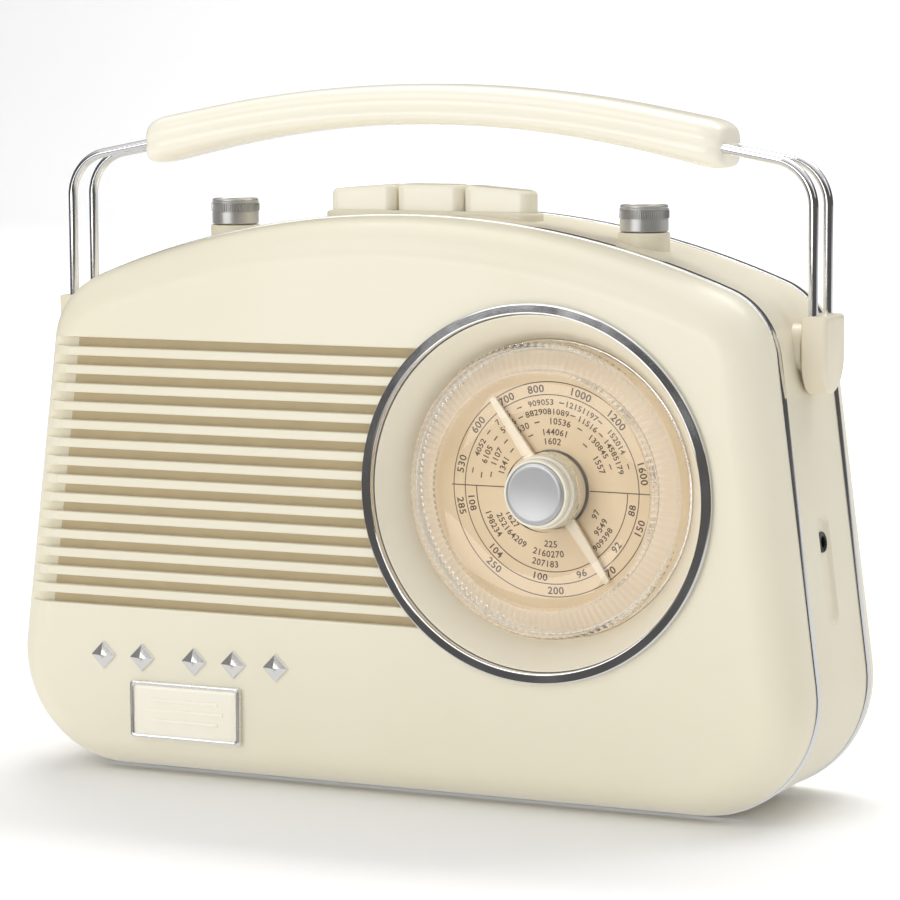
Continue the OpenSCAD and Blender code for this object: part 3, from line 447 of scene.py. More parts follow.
# the ledge behind the slots' left ends, where the cloth starts
ledge_steps = 24
ledge_rings = []
for z in np.linspace(slot_top + 0.5 * MM, slot_top - slot_pitch * (slot_count - 1) - slot_h - 0.5 * MM,
                     ledge_steps):
    edge = -(side_reach - (z - under_z) * math.sin(lean)) / math.cos(lean)
    x0, x1 = edge + 5.5 * MM, edge + 14.0 * MM
    y0, y1 = front_y + slot_depth - 0.02 * MM, front_y + slot_depth + 0.9 * MM
    ledge_rings.append([(x0, y0, z), (x0, y1, z), (x1, y1, z), (x1, y0, z)])
ledge = lofted("slot_ledge", ledge_rings, cream_case)
front_shell = joined("front_shell_skin", [front_shell, ledge])
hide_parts("front_shell")
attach(front_shell, "case")


# ---- Middle band ----
# The broad cream band between the shells, with the raised plinth for the keys, a collar under each
# top knob, a boss behind each handle block and a long shallow recess in the right side.

band_low, band_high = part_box("middle_band")
pivot_low, pivot_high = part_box("handle_pivots")
deck_y = (pivot_low.y + pivot_high.y) / 2
pivot_z = (pivot_low.z + pivot_high.z) / 2
cream_band = finish_with(
    "cream_band", moulded_skin,
    {"Tone": from_screen(232, 225, 204), "Shade": from_screen(228, 220, 197), "Gloss": 0.38, "Rub": 0.1},
    bump=0.00002, plain={"Specular IOR Level": 0.45, "Coat Weight": 0.1, "Coat Roughness": 0.22})

band_lip = 0.35 * MM
rings = [
    case_ring(0, band_low.y + band_lip), case_ring(0, band_high.y - band_lip),
    case_ring(band_lip, band_high.y), case_ring(wall, band_high.y),
    case_ring(wall, band_low.y), case_ring(band_lip, band_low.y)]
band = lofted("middle_band_skin", rings, cream_band, loop=True)

recess_z = (under_z + 59 * MM, under_z + 95 * MM)
recess_w = 9.6 * MM
recess_mid = sum(recess_z) / 2
side_turn = Matrix.Rotation(-lean, 4, "Y")


def on_side(z, points):
    """Puts points drawn with x outwards, y back and z up onto the leaning right side at height z."""
    there = Matrix.Translation((side_at(z), deck_y, z)) @ side_turn
    return [there @ Vector(p) for p in points]


def stadium(w, h, steps=20):
    r = w / 2
    upper = [(r * math.cos(a), h / 2 - r + r * math.sin(a)) for a in np.linspace(0, math.pi, steps + 1)]
    return upper + [(-y, -z) for y, z in upper]


def plan_ring(w, d, r, x=0.0, y=0.0, steps=8):
    """A rectangle with rounded corners, seen from above, starting at its right back corner."""
    points = []
    for cx, cy, a0 in ((1, 1, 0), (-1, 1, 90), (-1, -1, 180), (1, -1, 270)):
        for a in np.linspace(math.radians(a0), math.radians(a0 + 90), steps + 1):
            points.append((x + cx * (w / 2 - r) + r * math.cos(a), y + cy * (d / 2 - r) + r * math.sin(a)))
    return points


recess_hole = [on_side(recess_mid, [(x, y, z) for y, z in stadium(recess_w, recess_z[1] - recess_z[0])])
               for x in (-8 * MM, 8 * MM)]
recess_cutter = lofted("recess_cutter", recess_hole)

key_pitch, key_w, key_d = 24.25 * MM, 23.7 * MM, 10.5 * MM
key_lift = 9.3 * MM
well_w, well_d, well_corner = 3 * key_pitch + 0.6 * MM, key_d + 0.6 * MM, 4.1 * MM
well_rings = [[(x, y, z) for x, y in plan_ring(well_w, well_d, well_corner, 0, deck_y)]
              for z in (under_z + 165 * MM, under_z + 210 * MM)]
key_well = lofted("key_well", well_rings)
carve(band, [recess_cutter, key_well])

# the recess's pan: its walls slope in to a shallow floor, with a hole for the socket
pan_rings = []
pan_h = recess_z[1] - recess_z[0]
for inset, x in ((-0.25, 0.02), (0.0, -0.05), (0.4, -0.3), (0.9, -0.75), (1.4, -1.1), (1.9, -1.25)):
    line = stadium(recess_w - 2 * inset * MM, pan_h - 2 * inset * MM)
    pan_rings.append(on_side(recess_mid, [(x * MM, y, z) for y, z in line]))
n = len(pan_rings[0])
points = [p for ring in pan_rings for p in ring]
faces = [(j * n + i, j * n + (i + 1) % n, (j + 1) * n + (i + 1) % n, (j + 1) * n + i)
         for j in range(len(pan_rings) - 1) for i in range(n)]
faces.append(tuple(range((len(pan_rings) - 1) * n, len(pan_rings) * n)))
recess_pan = solid_from("side_recess_pan", points, faces, cream_band, 50)
back = recess_pan.modifiers.new("wall", "SOLIDIFY")
back.thickness, back.offset = 0.8 * MM, -1
settled(recess_pan, 50)
jack_z = under_z + 85.5 * MM
jack_turns = np.linspace(0, 2 * math.pi, 33)[:-1]
rings = [on_side(jack_z, [(x, 3.2 * MM * math.cos(a), 3.2 * MM * math.sin(a)) for a in jack_turns])
         for x in (-4 * MM, 1 * MM)]
carve(recess_pan, [lofted("jack_hole", rings)], 50)

# plinth under the keys: a low frame that follows the arch
plinth_foot = under_z + 181 * MM
plinth_w, plinth_d = 3 * key_pitch + 3.6 * MM, key_d + 3.6 * MM


def arch_height(x, lift):
    return under_z + arch_z + math.sqrt((arch_r + lift) ** 2 - x * x)


def framed(w, d, r, top=None, drop=0.0, z=None):
    return [(x, y, z if top is None else arch_height(x, top) - drop) for x,
            y in plan_ring(w, d, r, 0, deck_y, 10)]


top_lift, plinth_corner, plinth_edge, well_edge = 2.4 * MM, 5.8 * MM, 0.9 * MM, 0.3 * MM
rings = [framed(plinth_w, plinth_d, plinth_corner, z=plinth_foot)]
for a in np.linspace(0, math.pi / 2, 6):
    out = plinth_edge * (1 - math.cos(a))
    rings.append(framed(plinth_w - 2 * out, plinth_d - 2 * out, plinth_corner - out,
                        top_lift, plinth_edge * (1 - math.sin(a))))
for a in np.linspace(math.pi / 2, 0, 4):
    out = -well_edge * (1 - math.cos(a))
    rings.append(framed(well_w - 2 * out, well_d - 2 * out, well_corner - out,
                        top_lift, well_edge * (1 - math.sin(a))))
rings.append(framed(well_w, well_d, well_corner, z=plinth_foot))
plinth = lofted("key_plinth", rings, cream_band, loop=True)


def turned(name, line, centre, material, axis="Z", steps=96, sharp=40):
    """A piece of revolution from a closed line of (radius, height) points. Axis Y heights go to the back."""
    rings = []
    for i in range(steps):
        a = 2 * math.pi * i / steps
        if axis == "Z":
            rings.append([(centre[0] + r * math.cos(a), centre[1] + r * math.sin(a), centre[2] + h) for r,
                          h in line])
        elif axis == "Y":
            rings.append([(centre[0] + r * math.cos(a), centre[1] + h, centre[2] + r * math.sin(a)) for r,
                          h in line])
        else:
            rings.append([(centre[0] + h, centre[1] + r * math.cos(a), centre[2] + r * math.sin(a)) for r,
                          h in line])
    points, faces = bridge(rings, loop=True)
    made = solid_from(name, points, faces, material, sharp)
    work = bmesh.new()
    work.from_mesh(made.data)
    bmesh.ops.remove_doubles(work, verts=work.verts, dist=1e-7)
    bmesh.ops.dissolve_degenerate(work, edges=work.edges, dist=1e-8)
    bmesh.ops.recalc_face_normals(work, faces=work.faces)
    work.to_mesh(made.data)
    work.free()
    made.data.shade_smooth()
    made.data.set_sharp_from_angle(angle=math.radians(sharp))
    return made


def scaled(line, unit=MM):
    return [(r * unit, h * unit) for r, h in line]


knob_low, knob_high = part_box("tone_knob")
knob_x = (knob_low.x + knob_high.x) / 2
collar_top = knob_low.z - 0.3 * MM
collar_line = scaled([(3.6, 0), (7.6, 0), (8.05, -0.15), (8.25, -0.6), (8.3, -1.2), (8.3, -10), (3.6, -10)])
collars = [turned("collar_" + side, collar_line, (x, deck_y, collar_top), cream_band)
           for side, x in (("left", -knob_x), ("right", knob_x))]

boss_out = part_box("handle_block_right")[0].x - 0.3 * MM
boss_line = scaled([(2.6, 0), (6.0, 0), (7.4, -0.5), (8.0, -1.6), (8.0, -11), (2.6, -11)])
bosses = [turned("boss_right", boss_line, (boss_out, deck_y, pivot_z), cream_band, "X")]
bosses.append(turned("boss_left", [(r, -h) for r, h in boss_line], (-boss_out, deck_y, pivot_z), cream_band,
                     "X"))


band = joined("middle_band_skin", [band, recess_pan, plinth, *collars, *bosses])
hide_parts("middle_band")
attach(band, "case")


# ---- Rear shell and battery door ----
# The same moulding as the front, closed at the back, with a doorway for the cells, vents beside it,
# a cut-out for the mains inlet and four sunk screw holes. The door hinges at its lower edge.

strip_w = 3.6 * MM
rear_y, rear_seam = front_y + 83 * MM, band_high.y + strip_w
cut_in, cut_out = rear_y - 4 * MM, rear_y + 2 * MM
door_low, door_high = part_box("battery_door")
inlet_low, inlet_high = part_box("mains_inlet")
rear_shell = shell_piece("rear_shell_skin", rear_y, rear_seam, cream_case)


def block_cutter(name, low, high, ease_in=0.0):
    rings = [[(x, y, z) for x, z in plan_ring(high[0] - low[0], high[2] - low[2], max(ease_in, 0.05 * MM),
              (high[0] + low[0]) / 2, (high[2] + low[2]) / 2, 6)] for y in (low[1], high[1])]
    return lofted(name, rings)


doorway = block_cutter("doorway", (-58 * MM, cut_in, under_z + 24 * MM),
                       (58 * MM, cut_out, under_z + 82 * MM), 1 * MM)
inlet_hole = block_cutter("inlet_hole", (inlet_low.x + 1.9 * MM, cut_in, inlet_low.z + 1.9 * MM),
                          (inlet_high.x - 1.9 * MM, cut_out, inlet_high.z - 1.9 * MM), 1 * MM)
vents = [block_cutter(f"vent_{i}", (-105 * MM, cut_in, under_z + (88 + 5 * i) * MM),
                      (-63 * MM, cut_out, under_z + (90.2 + 5 * i) * MM), 1.09 * MM) for i in range(6)]
case_screws = [(-92, 158), (92, 158), (-112, 26), (112, 26)]
screw_holes = [round_bar(f"screw_hole_{i}", 3.4 * MM, cut_in, cut_out, x * MM, under_z + z * MM, 32)
               for i, (x, z) in enumerate(case_screws)]
carve(rear_shell, [doorway, inlet_hole, *vents, *screw_holes])

# a tube behind each screw hole, so that it doesn't open into the case
tubes = [turned(f"screw_tube_{i}", scaled([(3.4, -2.0), (4.6, -2.0), (4.6, -20), (1.8, -20), (1.8, -19.6),
                                           (3.4, -19.6)]),
                (x * MM, rear_y, under_z + z * MM), cream_case, "Y", 32) for i,
                (x, z) in enumerate(case_screws)]
shelf_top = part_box("aerial_tip")[1].z - 5.0 * MM
shelf_rings = [[(x, y, z) for x, y in plan_ring(10 * MM, 7.2 * MM, 0.8 * MM, -17 * MM, rear_y + 3.0 * MM)]
               for z in (shelf_top - 3.6 * MM, shelf_top)]
shelf = lofted("aerial_shelf", shelf_rings, cream_case)
rear_shell = joined("rear_shell_skin", [rear_shell, *tubes, shelf])
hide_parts("rear_shell")
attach(rear_shell, "case")

door_outer = door_high.y
door_rings = []
for out, y in ((0.0, door_low.y), (0.0, door_outer - 0.5 * MM), (0.15, door_outer - 0.15 * MM),
               (0.5, door_outer)):
    w, h = 115.2 * MM - 2 * out * MM, 57.0 * MM - 2 * out * MM
    door_rings.append([(x, y, z) for x, z in plan_ring(w, h, 1.2 * MM, 0,
                                                       (door_low.z + door_high.z) / 2 + 0.1 * MM)])
door = lofted("battery_door_skin", door_rings, cream_case)
grip_cuts = [block_cutter(f"door_grip_{i}", (-12 * MM, door_outer - 0.5 * MM,
                                             door_high.z - (8.4 + 2.2 * i) * MM),
                          (12 * MM, door_outer + 1 * MM, door_high.z - (7.3 + 2.2 * i) * MM), 0.5 * MM)
                          for i in range(5)]
carve(door, grip_cuts)
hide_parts("battery_door")
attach(door, "door")


# ---- Chrome strips ----
# Two narrow bright strips, moulded and plated, that cover the joints between the band and the shells.

# Bright plating: even, with faint smears that dull it a little
plated_skin, fed, gives = effect(
    "plated_skin", {"Tone": ("colour", (0.8, 0.8, 0.82, 1)), "Polish": ("value", 0.06),
                    "Smear": ("value", 60.0)})
spot = wire(plated_skin, "ShaderNodeTexCoord")
smear = wire(plated_skin, "ShaderNodeTexNoise",
             {"Vector": spot.outputs["Object"], "Scale": fed.outputs["Smear"], "Detail": 4.0})
fleck = wire(plated_skin, "ShaderNodeTexNoise", {"Vector": spot.outputs["Object"], "Scale": 900.0,
                                                 "Detail": 2.0})
patch = wire(plated_skin, "ShaderNodeMapRange", {0: smear.outputs["Fac"], 1: 0.4, 2: 0.75, 3: 0.0, 4: 0.08})
rough = reckon(plated_skin, "ADD", patch.outputs[0], fed.outputs["Polish"])
darker = mixed(plated_skin, patch.outputs[0], fed.outputs["Tone"], (0.45, 0.43, 0.41, 1))
put_out(plated_skin, gives, darker, rough, fleck.outputs["Fac"])
chrome = finish_with("bright_chrome", plated_skin, {"Tone": (0.78, 0.78, 0.79, 1), "Polish": 0.07},
                     plain={"Metallic": 1.0})

trims = []
for name, y0 in (("front", seam_y), ("rear", band_high.y)):
    crown = [(0.0, 0.0), (-0.22, 0.02), (-0.34, 0.1), (-0.4, 0.3), (-0.4, 3.3), (-0.34, 3.5), (-0.22, 3.58),
             (0.0, 3.6)]
    rings = [case_ring(out * MM, y0 + y * MM) for out, y in crown]
    rings += [case_ring(wall, y0 + strip_w), case_ring(wall, y0)]
    trims.append(lofted("trim_" + name, rings, chrome, 50, loop=True))
trims = joined("chrome_strips", trims)
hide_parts("chrome_trims")
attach(trims, "case")


# ---- Feet and screws ----
# Four soft black discs glued into the underside, and cross-headed steel screws that hold the
# shells, the dial, the board and the loudspeaker.

rubber_skin = finish_with("foot_rubber", moulded_skin,
                          {"Tone": (0.018, 0.018, 0.018, 1), "Shade": (0.03, 0.03, 0.03, 1), "Gloss": 0.75,
                           "Grain": 500.0}, bump=0.00005)
foot_line = scaled([(0, 0), (5.2, 0), (5.8, 0.25), (6, 0.7), (6, 1.5), (0, 1.5)])
feet = [turned(f"foot_{x}_{y}", foot_line, (x * MM, front_y + (41.5 + y) * MM, 0.0), rubber_skin, "Z", 48)
        for x in (-90, 90) for y in (-14, 14)]
feet = joined("rubber_feet", feet)
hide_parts("feet")
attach(feet, "case")

steel = finish_with("plain_steel", plated_skin, {"Tone": (0.5, 0.5, 0.52, 1), "Polish": 0.28, "Smear": 200.0},
                    bump=0.000004, plain={"Metallic": 1.0})
head_line = scaled([(0, -1.6), (1.2, -1.6), (2.3, -1.1), (2.85, -0.2), (2.85, 0), (1.4, 0), (1.4, 6), (0, 6)])
one_screw = turned("one_screw", [(r, -h) for r, h in head_line], (0, 0, 0), steel, "Y", 24)
slot_cuts = [block_cutter("cross_a", (-1.7 * MM, 0.9 * MM, -0.25 * MM), (1.7 * MM, 3 * MM, 0.25 * MM)),
             block_cutter("cross_b", (-0.25 * MM, 0.9 * MM, -1.7 * MM), (0.25 * MM, 3 * MM, 1.7 * MM))]
carve(one_screw, slot_cuts)
screw_tree, fed = rule("screws_at_their_holes", {"Holes": "Geometry", "Screw": "Object"}, "Screws")
source = wire(screw_tree, "GeometryNodeObjectInfo", {"Object": fed.outputs["Screw"], "As Instance": True})
turns_at = wire(screw_tree, "FunctionNodeRandomValue", {2: 0.0, 3: 1.5, "Seed": 7})
twist = wire(screw_tree, "ShaderNodeCombineXYZ", {"Y": turns_at.outputs[1]})
copies = wire(screw_tree, "GeometryNodeInstanceOnPoints",
              {"Points": fed.outputs["Holes"], "Instance": source.outputs["Geometry"],
               "Rotation": twist.outputs[0]})
real = wire(screw_tree, "GeometryNodeRealizeInstances", {"Geometry": copies.outputs["Instances"]})
coated = wire(screw_tree, "GeometryNodeSetMaterial", {"Geometry": real.outputs[0], "Material": steel})
screw_tree.links.new(coated.outputs[0], wire(screw_tree, "NodeGroupOutput").inputs[0])
spots = [(x * MM, rear_y - 19.5 * MM, under_z + z * MM) for x, z in case_screws]
back_screws = solid_from("case_screws", spots, [])
grow(back_screws, screw_tree, {"Screw": one_screw})
back_screws.data.shade_smooth()
back_screws.data.set_sharp_from_angle(angle=math.radians(35))
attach(back_screws, "case")
bpy.data.objects.remove(one_screw)


# ---- Grille cloth and loudspeaker ----
# A tan woven cloth glued to a pressed board behind the slots. The loudspeaker is screwed to the board:
# a stamped basket, a ring magnet and a black paper cone.

# Cloth woven from two threads that pass over and under each other
woven_skin, fed, gives = effect(
    "woven_skin", {"Warp": ("colour", (0.5, 0.42, 0.3, 1)), "Weft": ("colour", (0.36, 0.3, 0.2, 1)),
                   "Pitch": ("value", 1300.0)})
spot = wire(woven_skin, "ShaderNodeTexCoord")
grid = wire(woven_skin, "ShaderNodeVectorMath", {0: spot.outputs["Object"], 3: fed.outputs["Pitch"]},
            operation="SCALE")
cell = wire(woven_skin, "ShaderNodeSeparateXYZ", {0: grid.outputs[0]})
wave_x = reckon(woven_skin, "SINE", cell.outputs["X"])
wave_z = reckon(woven_skin, "SINE", cell.outputs["Z"])
over = reckon(woven_skin, "MULTIPLY", wave_x, wave_z)
share = wire(woven_skin, "ShaderNodeMapRange", {0: over, 1: -1.0, 2: 1.0, 3: 0.0, 4: 1.0})
slubs = wire(woven_skin, "ShaderNodeTexNoise", {"Vector": spot.outputs["Object"], "Scale": 160.0,
                                                "Detail": 3.0})
tint = mixed(woven_skin, share.outputs[0], fed.outputs["Warp"], fed.outputs["Weft"])
aged = mixed(woven_skin, slubs.outputs["Fac"], tint, fed.outputs["Warp"])
dull = wire(woven_skin, "ShaderNodeMapRange", {0: slubs.outputs["Fac"], 3: 0.78, 4: 0.95})
put_out(woven_skin, gives, aged, dull.outputs[0], share.outputs[0])


def coat(node, material):
    """Gives a CAD node kept as it is its material."""
    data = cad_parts[node].data
    if not data.materials:
        data.materials.append(material)
    for i in range(len(data.materials)):
        data.materials[i] = material


cloth = finish_with("grille_cloth_weave", woven_skin,
                    {"Warp": from_screen(214, 197, 160), "Weft": from_screen(189, 169, 132), "Pitch": 7000.0},
                    bump=0.0001, plain={"Sheen Weight": 0.15})
coat("grille_cloth", cloth)
board_skin = finish_with("pressed_board", moulded_skin,
                         {"Tone": (0.2, 0.12, 0.06, 1), "Shade": (0.15, 0.09, 0.045, 1), "Gloss": 0.8,
                          "Grain": 700.0},
                         bump=0.00008)
coat("speaker_baffle", board_skin)
basket = finish_with("stamped_basket", plated_skin, {"Tone": (0.45, 0.45, 0.46, 1), "Polish": 0.35},
                     bump=0.000005,
                     plain={"Metallic": 0.9})
coat("speaker_basket", basket)
magnet = finish_with("magnet_ferrite", moulded_skin,
                     {"Tone": (0.05, 0.05, 0.055, 1), "Shade": (0.035, 0.035, 0.04, 1), "Gloss": 0.6},
                     bump=0.00004)
coat("speaker_magnet", magnet)
cone = finish_with("cone_paper", moulded_skin,
                   {"Tone": (0.02, 0.019, 0.018, 1), "Shade": (0.03, 0.028, 0.026, 1), "Gloss": 0.85,
                    "Grain": 1200.0},
                   bump=0.0001)
coat("speaker_cone", cone)


# ---- Studs and plate on the front ----
# Five plated lozenges pressed into the front, and under them a cream plate in a chrome frame,
# left blank but for three raised lines.

satin_chrome = finish_with("satin_chrome", plated_skin, {"Tone": (0.82, 0.81, 0.79, 1), "Polish": 0.24},
                           plain={"Metallic": 0.85})
studs = []
stud_low, stud_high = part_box("name_studs")
stud_z = (stud_low.z + stud_high.z) / 2
stud_xs = (-104.7, -89.8, -70.0, -55.2, -39.4)
for i, x in enumerate(stud_xs):
    r = (stud_high.z - stud_low.z) / 2
    rings = [[(x * MM + k * r * c, y, stud_z + k * r * s) for c, s in ((1, 0), (0, 1), (-1, 0), (0, -1))]
             for k, y in ((1.0, front_y - 0.01 * MM), (1.0, stud_low.y + 1.35 * MM),
                          (0.94, stud_low.y + 1.1 * MM),
                          (0.5, stud_low.y + 0.45 * MM), (0.08, stud_low.y))]
    studs.append(lofted(f"stud_{i}", rings, satin_chrome, 20))
studs = joined("front_studs", studs)
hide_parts("name_studs")
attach(studs, "case")

plate_low, plate_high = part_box("name_plate")
plate_x, plate_z = (plate_low.x + plate_high.x) / 2, (plate_low.z + plate_high.z) / 2
plate_w, plate_h = plate_high.x - plate_low.x, plate_high.z - plate_low.z
gloss_cream = finish_with(
    "gloss_cream", moulded_skin,
    {"Tone": from_screen(248, 243, 227), "Shade": from_screen(246, 240, 222), "Gloss": 0.24, "Rub": 0.08},
    bump=0.000006, plain={"Coat Weight": 0.15, "Coat Roughness": 0.08})


def badge_ring(out, y, r=1.2):
    return [(x, y, z) for x, z in plan_ring(plate_w - 2 * out * MM, plate_h - 2 * out * MM, r * MM, plate_x,
                                            plate_z, 5)]


rings = [badge_ring(0.5, front_y + 0.2 * MM), badge_ring(0.5, plate_low.y + 0.8 * MM),
         badge_ring(1.5, plate_low.y + 0.8 * MM, 0.8), badge_ring(2.1, plate_low.y + 0.55 * MM, 0.6),
         badge_ring(2.6, plate_low.y + 0.5 * MM, 0.4)]
badge = lofted("front_plate", rings, gloss_cream)
lines = []
for z, w in ((3.4, 25), (0, 29), (-3.4, 25)):
    rings = [[(x, y, zz) for x, zz in plan_ring((w - k) * MM, (1.3 - k) * MM, 0.3 * MM, plate_x,
                                                plate_z + z * MM, 3)]
             for k, y in ((0, plate_low.y + 0.6 * MM), (0.1, plate_low.y + 0.25 * MM),
                          (0.5, plate_low.y + 0.15 * MM))]
    lines.append(lofted(f"plate_line_{z}", rings, gloss_cream))
badge = joined("front_plate", [badge, *lines])
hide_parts("name_plate")
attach(badge, "case")

rings = [badge_ring(0, front_y + 0.1 * MM), badge_ring(0, plate_low.y + 0.5 * MM),
         badge_ring(0.2, plate_low.y + 0.12 * MM), badge_ring(0.6, plate_low.y),
         badge_ring(1.0, plate_low.y + 0.12 * MM, 1.0), badge_ring(1.4, plate_low.y + 0.5 * MM, 0.8),
         badge_ring(1.4, plate_low.y + 1.0 * MM, 0.8), badge_ring(0.8, plate_low.y + 1.0 * MM)]
badge_frame = lofted("front_plate_frame", rings, satin_chrome, 50, loop=True)
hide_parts("name_plate_frame")
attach(badge_frame, "case")


# ---- Dial bezel and surround ----
# A chrome ring with a flat face and rounded edges round the opening, and a deep dished surround in
# cream that leads down to the printed plate.

dial_at = (dial_x, front_y, dial_z)
bezel_line = [(60.28, 0.0), (60.3, -0.6)]
bezel_line += [(59.6 + 0.7 * math.cos(a), -1.25 - 0.7 * math.sin(a))
               for a in np.linspace(0.0, math.radians(68), 7)]
bezel_line += [(59.72, -1.95), (57.5, -1.95)]
bezel_line += [(57.2 + 0.3 * math.cos(a), -1.6 - 0.3 * math.sin(a))
               for a in np.linspace(math.radians(70), math.pi, 6)]
bezel_line += [(56.8, 0.0), (56.8, 2.2), (57.55, 2.2), (57.55, 0.0)]
bezel = turned("dial_bezel_ring", scaled(bezel_line), dial_at, chrome, "Y", 200, 18)
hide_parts("dial_bezel")
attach(bezel, "case")

# The dish's tone is paler than the case's cream. This is painted light, raised to make up for the shade the
# lens casts into the dish.
cream_dish = finish_with(
    "cream_dish", moulded_skin,
    {"Tone": from_screen(246, 238, 217), "Shade": from_screen(243, 234, 212), "Gloss": 0.34, "Rub": 0.08},
    bump=0.00001, plain={"Specular IOR Level": 0.5, "Coat Weight": 0.1, "Coat Roughness": 0.15})
plate_low_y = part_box("dial_plate")[0].y
plate_depth = (plate_low_y - front_y) / MM
dish_line = [(56.7, 2.6), (56.7, 0.9), (56.5, 0.5), (56.15, 0.6), (55.6, 1.3), (48.9, plate_depth - 1.6),
             (48.3, plate_depth - 0.7), (47.95, plate_depth), (47.95, plate_depth + 1.2),
             (16, plate_depth + 1.2),
             (16, plate_depth + 3), (50, plate_depth + 3), (58.2, 4.4), (58.2, 2.6)]
dish = turned("dial_dish", scaled(dish_line), dial_at, cream_dish, "Y", 200, 30)
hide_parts("dial_surround")
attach(dish, "case")


# ---- Dial plate and its print ----
# A tan painted disc with its scale printed in brown: two rings all round, a third in the lower half, a
# line across, and rows of numbers and dashes that follow the arcs.

tan_paint = finish_with(
    "tan_paint", moulded_skin,
    {"Tone": from_screen(233, 211, 177), "Shade": from_screen(229, 206, 170), "Gloss": 0.5, "Rub": 0.1,
     "Patch": 30.0},
    bump=0.000008, plain={"Specular IOR Level": 0.4})
disc = turned("dial_disc", scaled([(12.7, plate_depth), (47.85, plate_depth), (47.85, plate_depth + 1.2),
                                   (12.7, plate_depth + 1.2)]), dial_at, tan_paint, "Y", 128)
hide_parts("dial_plate")
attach(disc, "case")

brown_ink = finish_with("brown_ink", moulded_skin,
                        {"Tone": from_screen(84, 60, 38), "Shade": from_screen(94, 68, 44), "Gloss": 0.55,
                         "Patch": 400.0})
ink_y = plate_low_y - 0.04 * MM
ink_points, ink_faces = [], []


def ink(points, faces):
    base = len(ink_points)
    ink_points.extend(points)
    ink_faces.extend(tuple(base + i for i in face) for face in faces)


def on_plate(r, a):
    return (dial_x + r * math.cos(a), ink_y, dial_z + r * math.sin(a))


def ink_arc(r, a0, a1, width=0.34 * MM):
    steps = max(2, int(abs(a1 - a0) / 0.03))
    turns = np.linspace(a0, a1, steps + 1)
    ink([on_plate(r + k * width / 2, a) for a in turns for k in (-1, 1)],
        [(2 * i, 2 * i + 1, 2 * i + 3, 2 * i + 2) if a1 > a0 else (2 * i, 2 * i + 2, 2 * i + 3, 2 * i + 1)
         for i in range(steps)])


def ink_words(text, r, angle, size, outward=True):
    """Text bent round the dial at a radius and an angle, with its top outwards or inwards."""
    curve = bpy.data.curves.new("print", "FONT")
    curve.body, curve.size, curve.align_x, curve.resolution_u = text, size, "CENTER", 3
    curve.space_character, curve.offset = 1.08, 0.018 * size
    holder = bpy.data.objects.new("print", curve)
    scene.collection.objects.link(holder)
    graph = bpy.context.evaluated_depsgraph_get()
    mesh = bpy.data.meshes.new_from_object(holder.evaluated_get(graph))
    half = 0.35 * size
    if outward:
        points = [on_plate(r - half + v.co.y, angle - v.co.x / r) for v in mesh.vertices]
    else:
        points = [on_plate(r + half - v.co.y, angle + v.co.x / r) for v in mesh.vertices]
    ink(points, [tuple(p.vertices) for p in mesh.polygons])
    bpy.data.objects.remove(holder)
    bpy.data.curves.remove(curve)
    bpy.data.meshes.remove(mesh)


outer_ring, band_ring, inner_ring = 35.6 * MM, 31.0 * MM, 26.6 * MM
ink_arc(outer_ring, 0, 2 * math.pi)
ink_arc(band_ring, 0, 2 * math.pi)
ink_arc(inner_ring, math.pi, 2 * math.pi)
for x0, x1 in ((-36.4 * MM, -12.9 * MM), (12.9 * MM, 36.4 * MM)):
    ink([(dial_x + x, ink_y, dial_z + z) for x, z in ((x0, -0.17 * MM), (x1, -0.17 * MM), (x1, 0.17 * MM),
                                                      (x0, 0.17 * MM))],
        [(0, 1, 2, 3)])
for text, at in (("530", 12), ("600", 37), ("700", 60.5), ("800", 80), ("1000", 108), ("1200", 134),
                 ("1600", 168)):
    ink_words(text, 33.3 * MM, math.radians(180 - at), 3.8 * MM)
for text, at in (("285", 12), ("250", 51), ("200", 92), ("170", 127), ("150", 160)):
    ink_words(text, 33.3 * MM, math.radians(180 + at), 3.7 * MM, False)
for text, at in (("108", 11), ("104", 46), ("100", 81), ("96", 111), ("92", 142), ("88", 169)):
    ink_words(text, 28.8 * MM, math.radians(180 + at), 3.5 * MM, False)
rows = (
    (28.4, (("-", 10), ("4052", 26), ("-", 38), ("7185", 52), ("-", 66), ("909053", 82), ("-", 97),
            ("12151197", 112),
            ("-", 127), ("152014", 144), ("-", 162))),
    (25.1, (("-", 8), ("6105", 24), ("-", 38), ("5936", 52), ("-", 64), ("8829081089", 86), ("-", 107),
            ("11516", 120),
            ("-", 133), ("14585179", 152))),
    (21.8, (("-", 10), ("1107", 26), ("-", 42), ("9630", 60), ("-", 76), ("10536", 97), ("-", 116),
            ("130845", 138),
            ("-", 158))),
    (18.4, (("1341", 22), ("-", 40), ("-", 66), ("144061", 93), ("-", 128), ("1557", 152))))
for r, entries in rows:
    for text, at in entries:
        if text == "-":
            a = math.radians(180 - at)
            ink_arc(r * MM, a + 0.9 / r, a - 0.9 / r, 0.42 * MM)
        else:
            ink_words(text, r * MM, math.radians(180 - at), 2.9 * MM)
ink_words("1602", 15.4 * MM, math.radians(90), 2.9 * MM)
for text, r, at in (("198234", 24.0, 30), ("252164209", 20.6, 44), ("1627", 17.4, 36), ("207183", 24.0, 84),
                    ("2160270", 20.8, 86), ("225", 17.6, 88), ("909398", 23.4, 139), ("9549", 20.2, 146),
                    ("97", 16.6, 154)):
    ink_words(text, r * MM, math.radians(180 + at), 2.9 * MM, False)
printed = solid_from("dial_print", ink_points, ink_faces, brown_ink, 180)
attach(printed, "case")


# ---- Dial lens ----
# A clear moulded ring and window that snaps in over the plate. Between two beaded ridges its rim has
# a hundred and twenty radial ribs, which look a little milky.


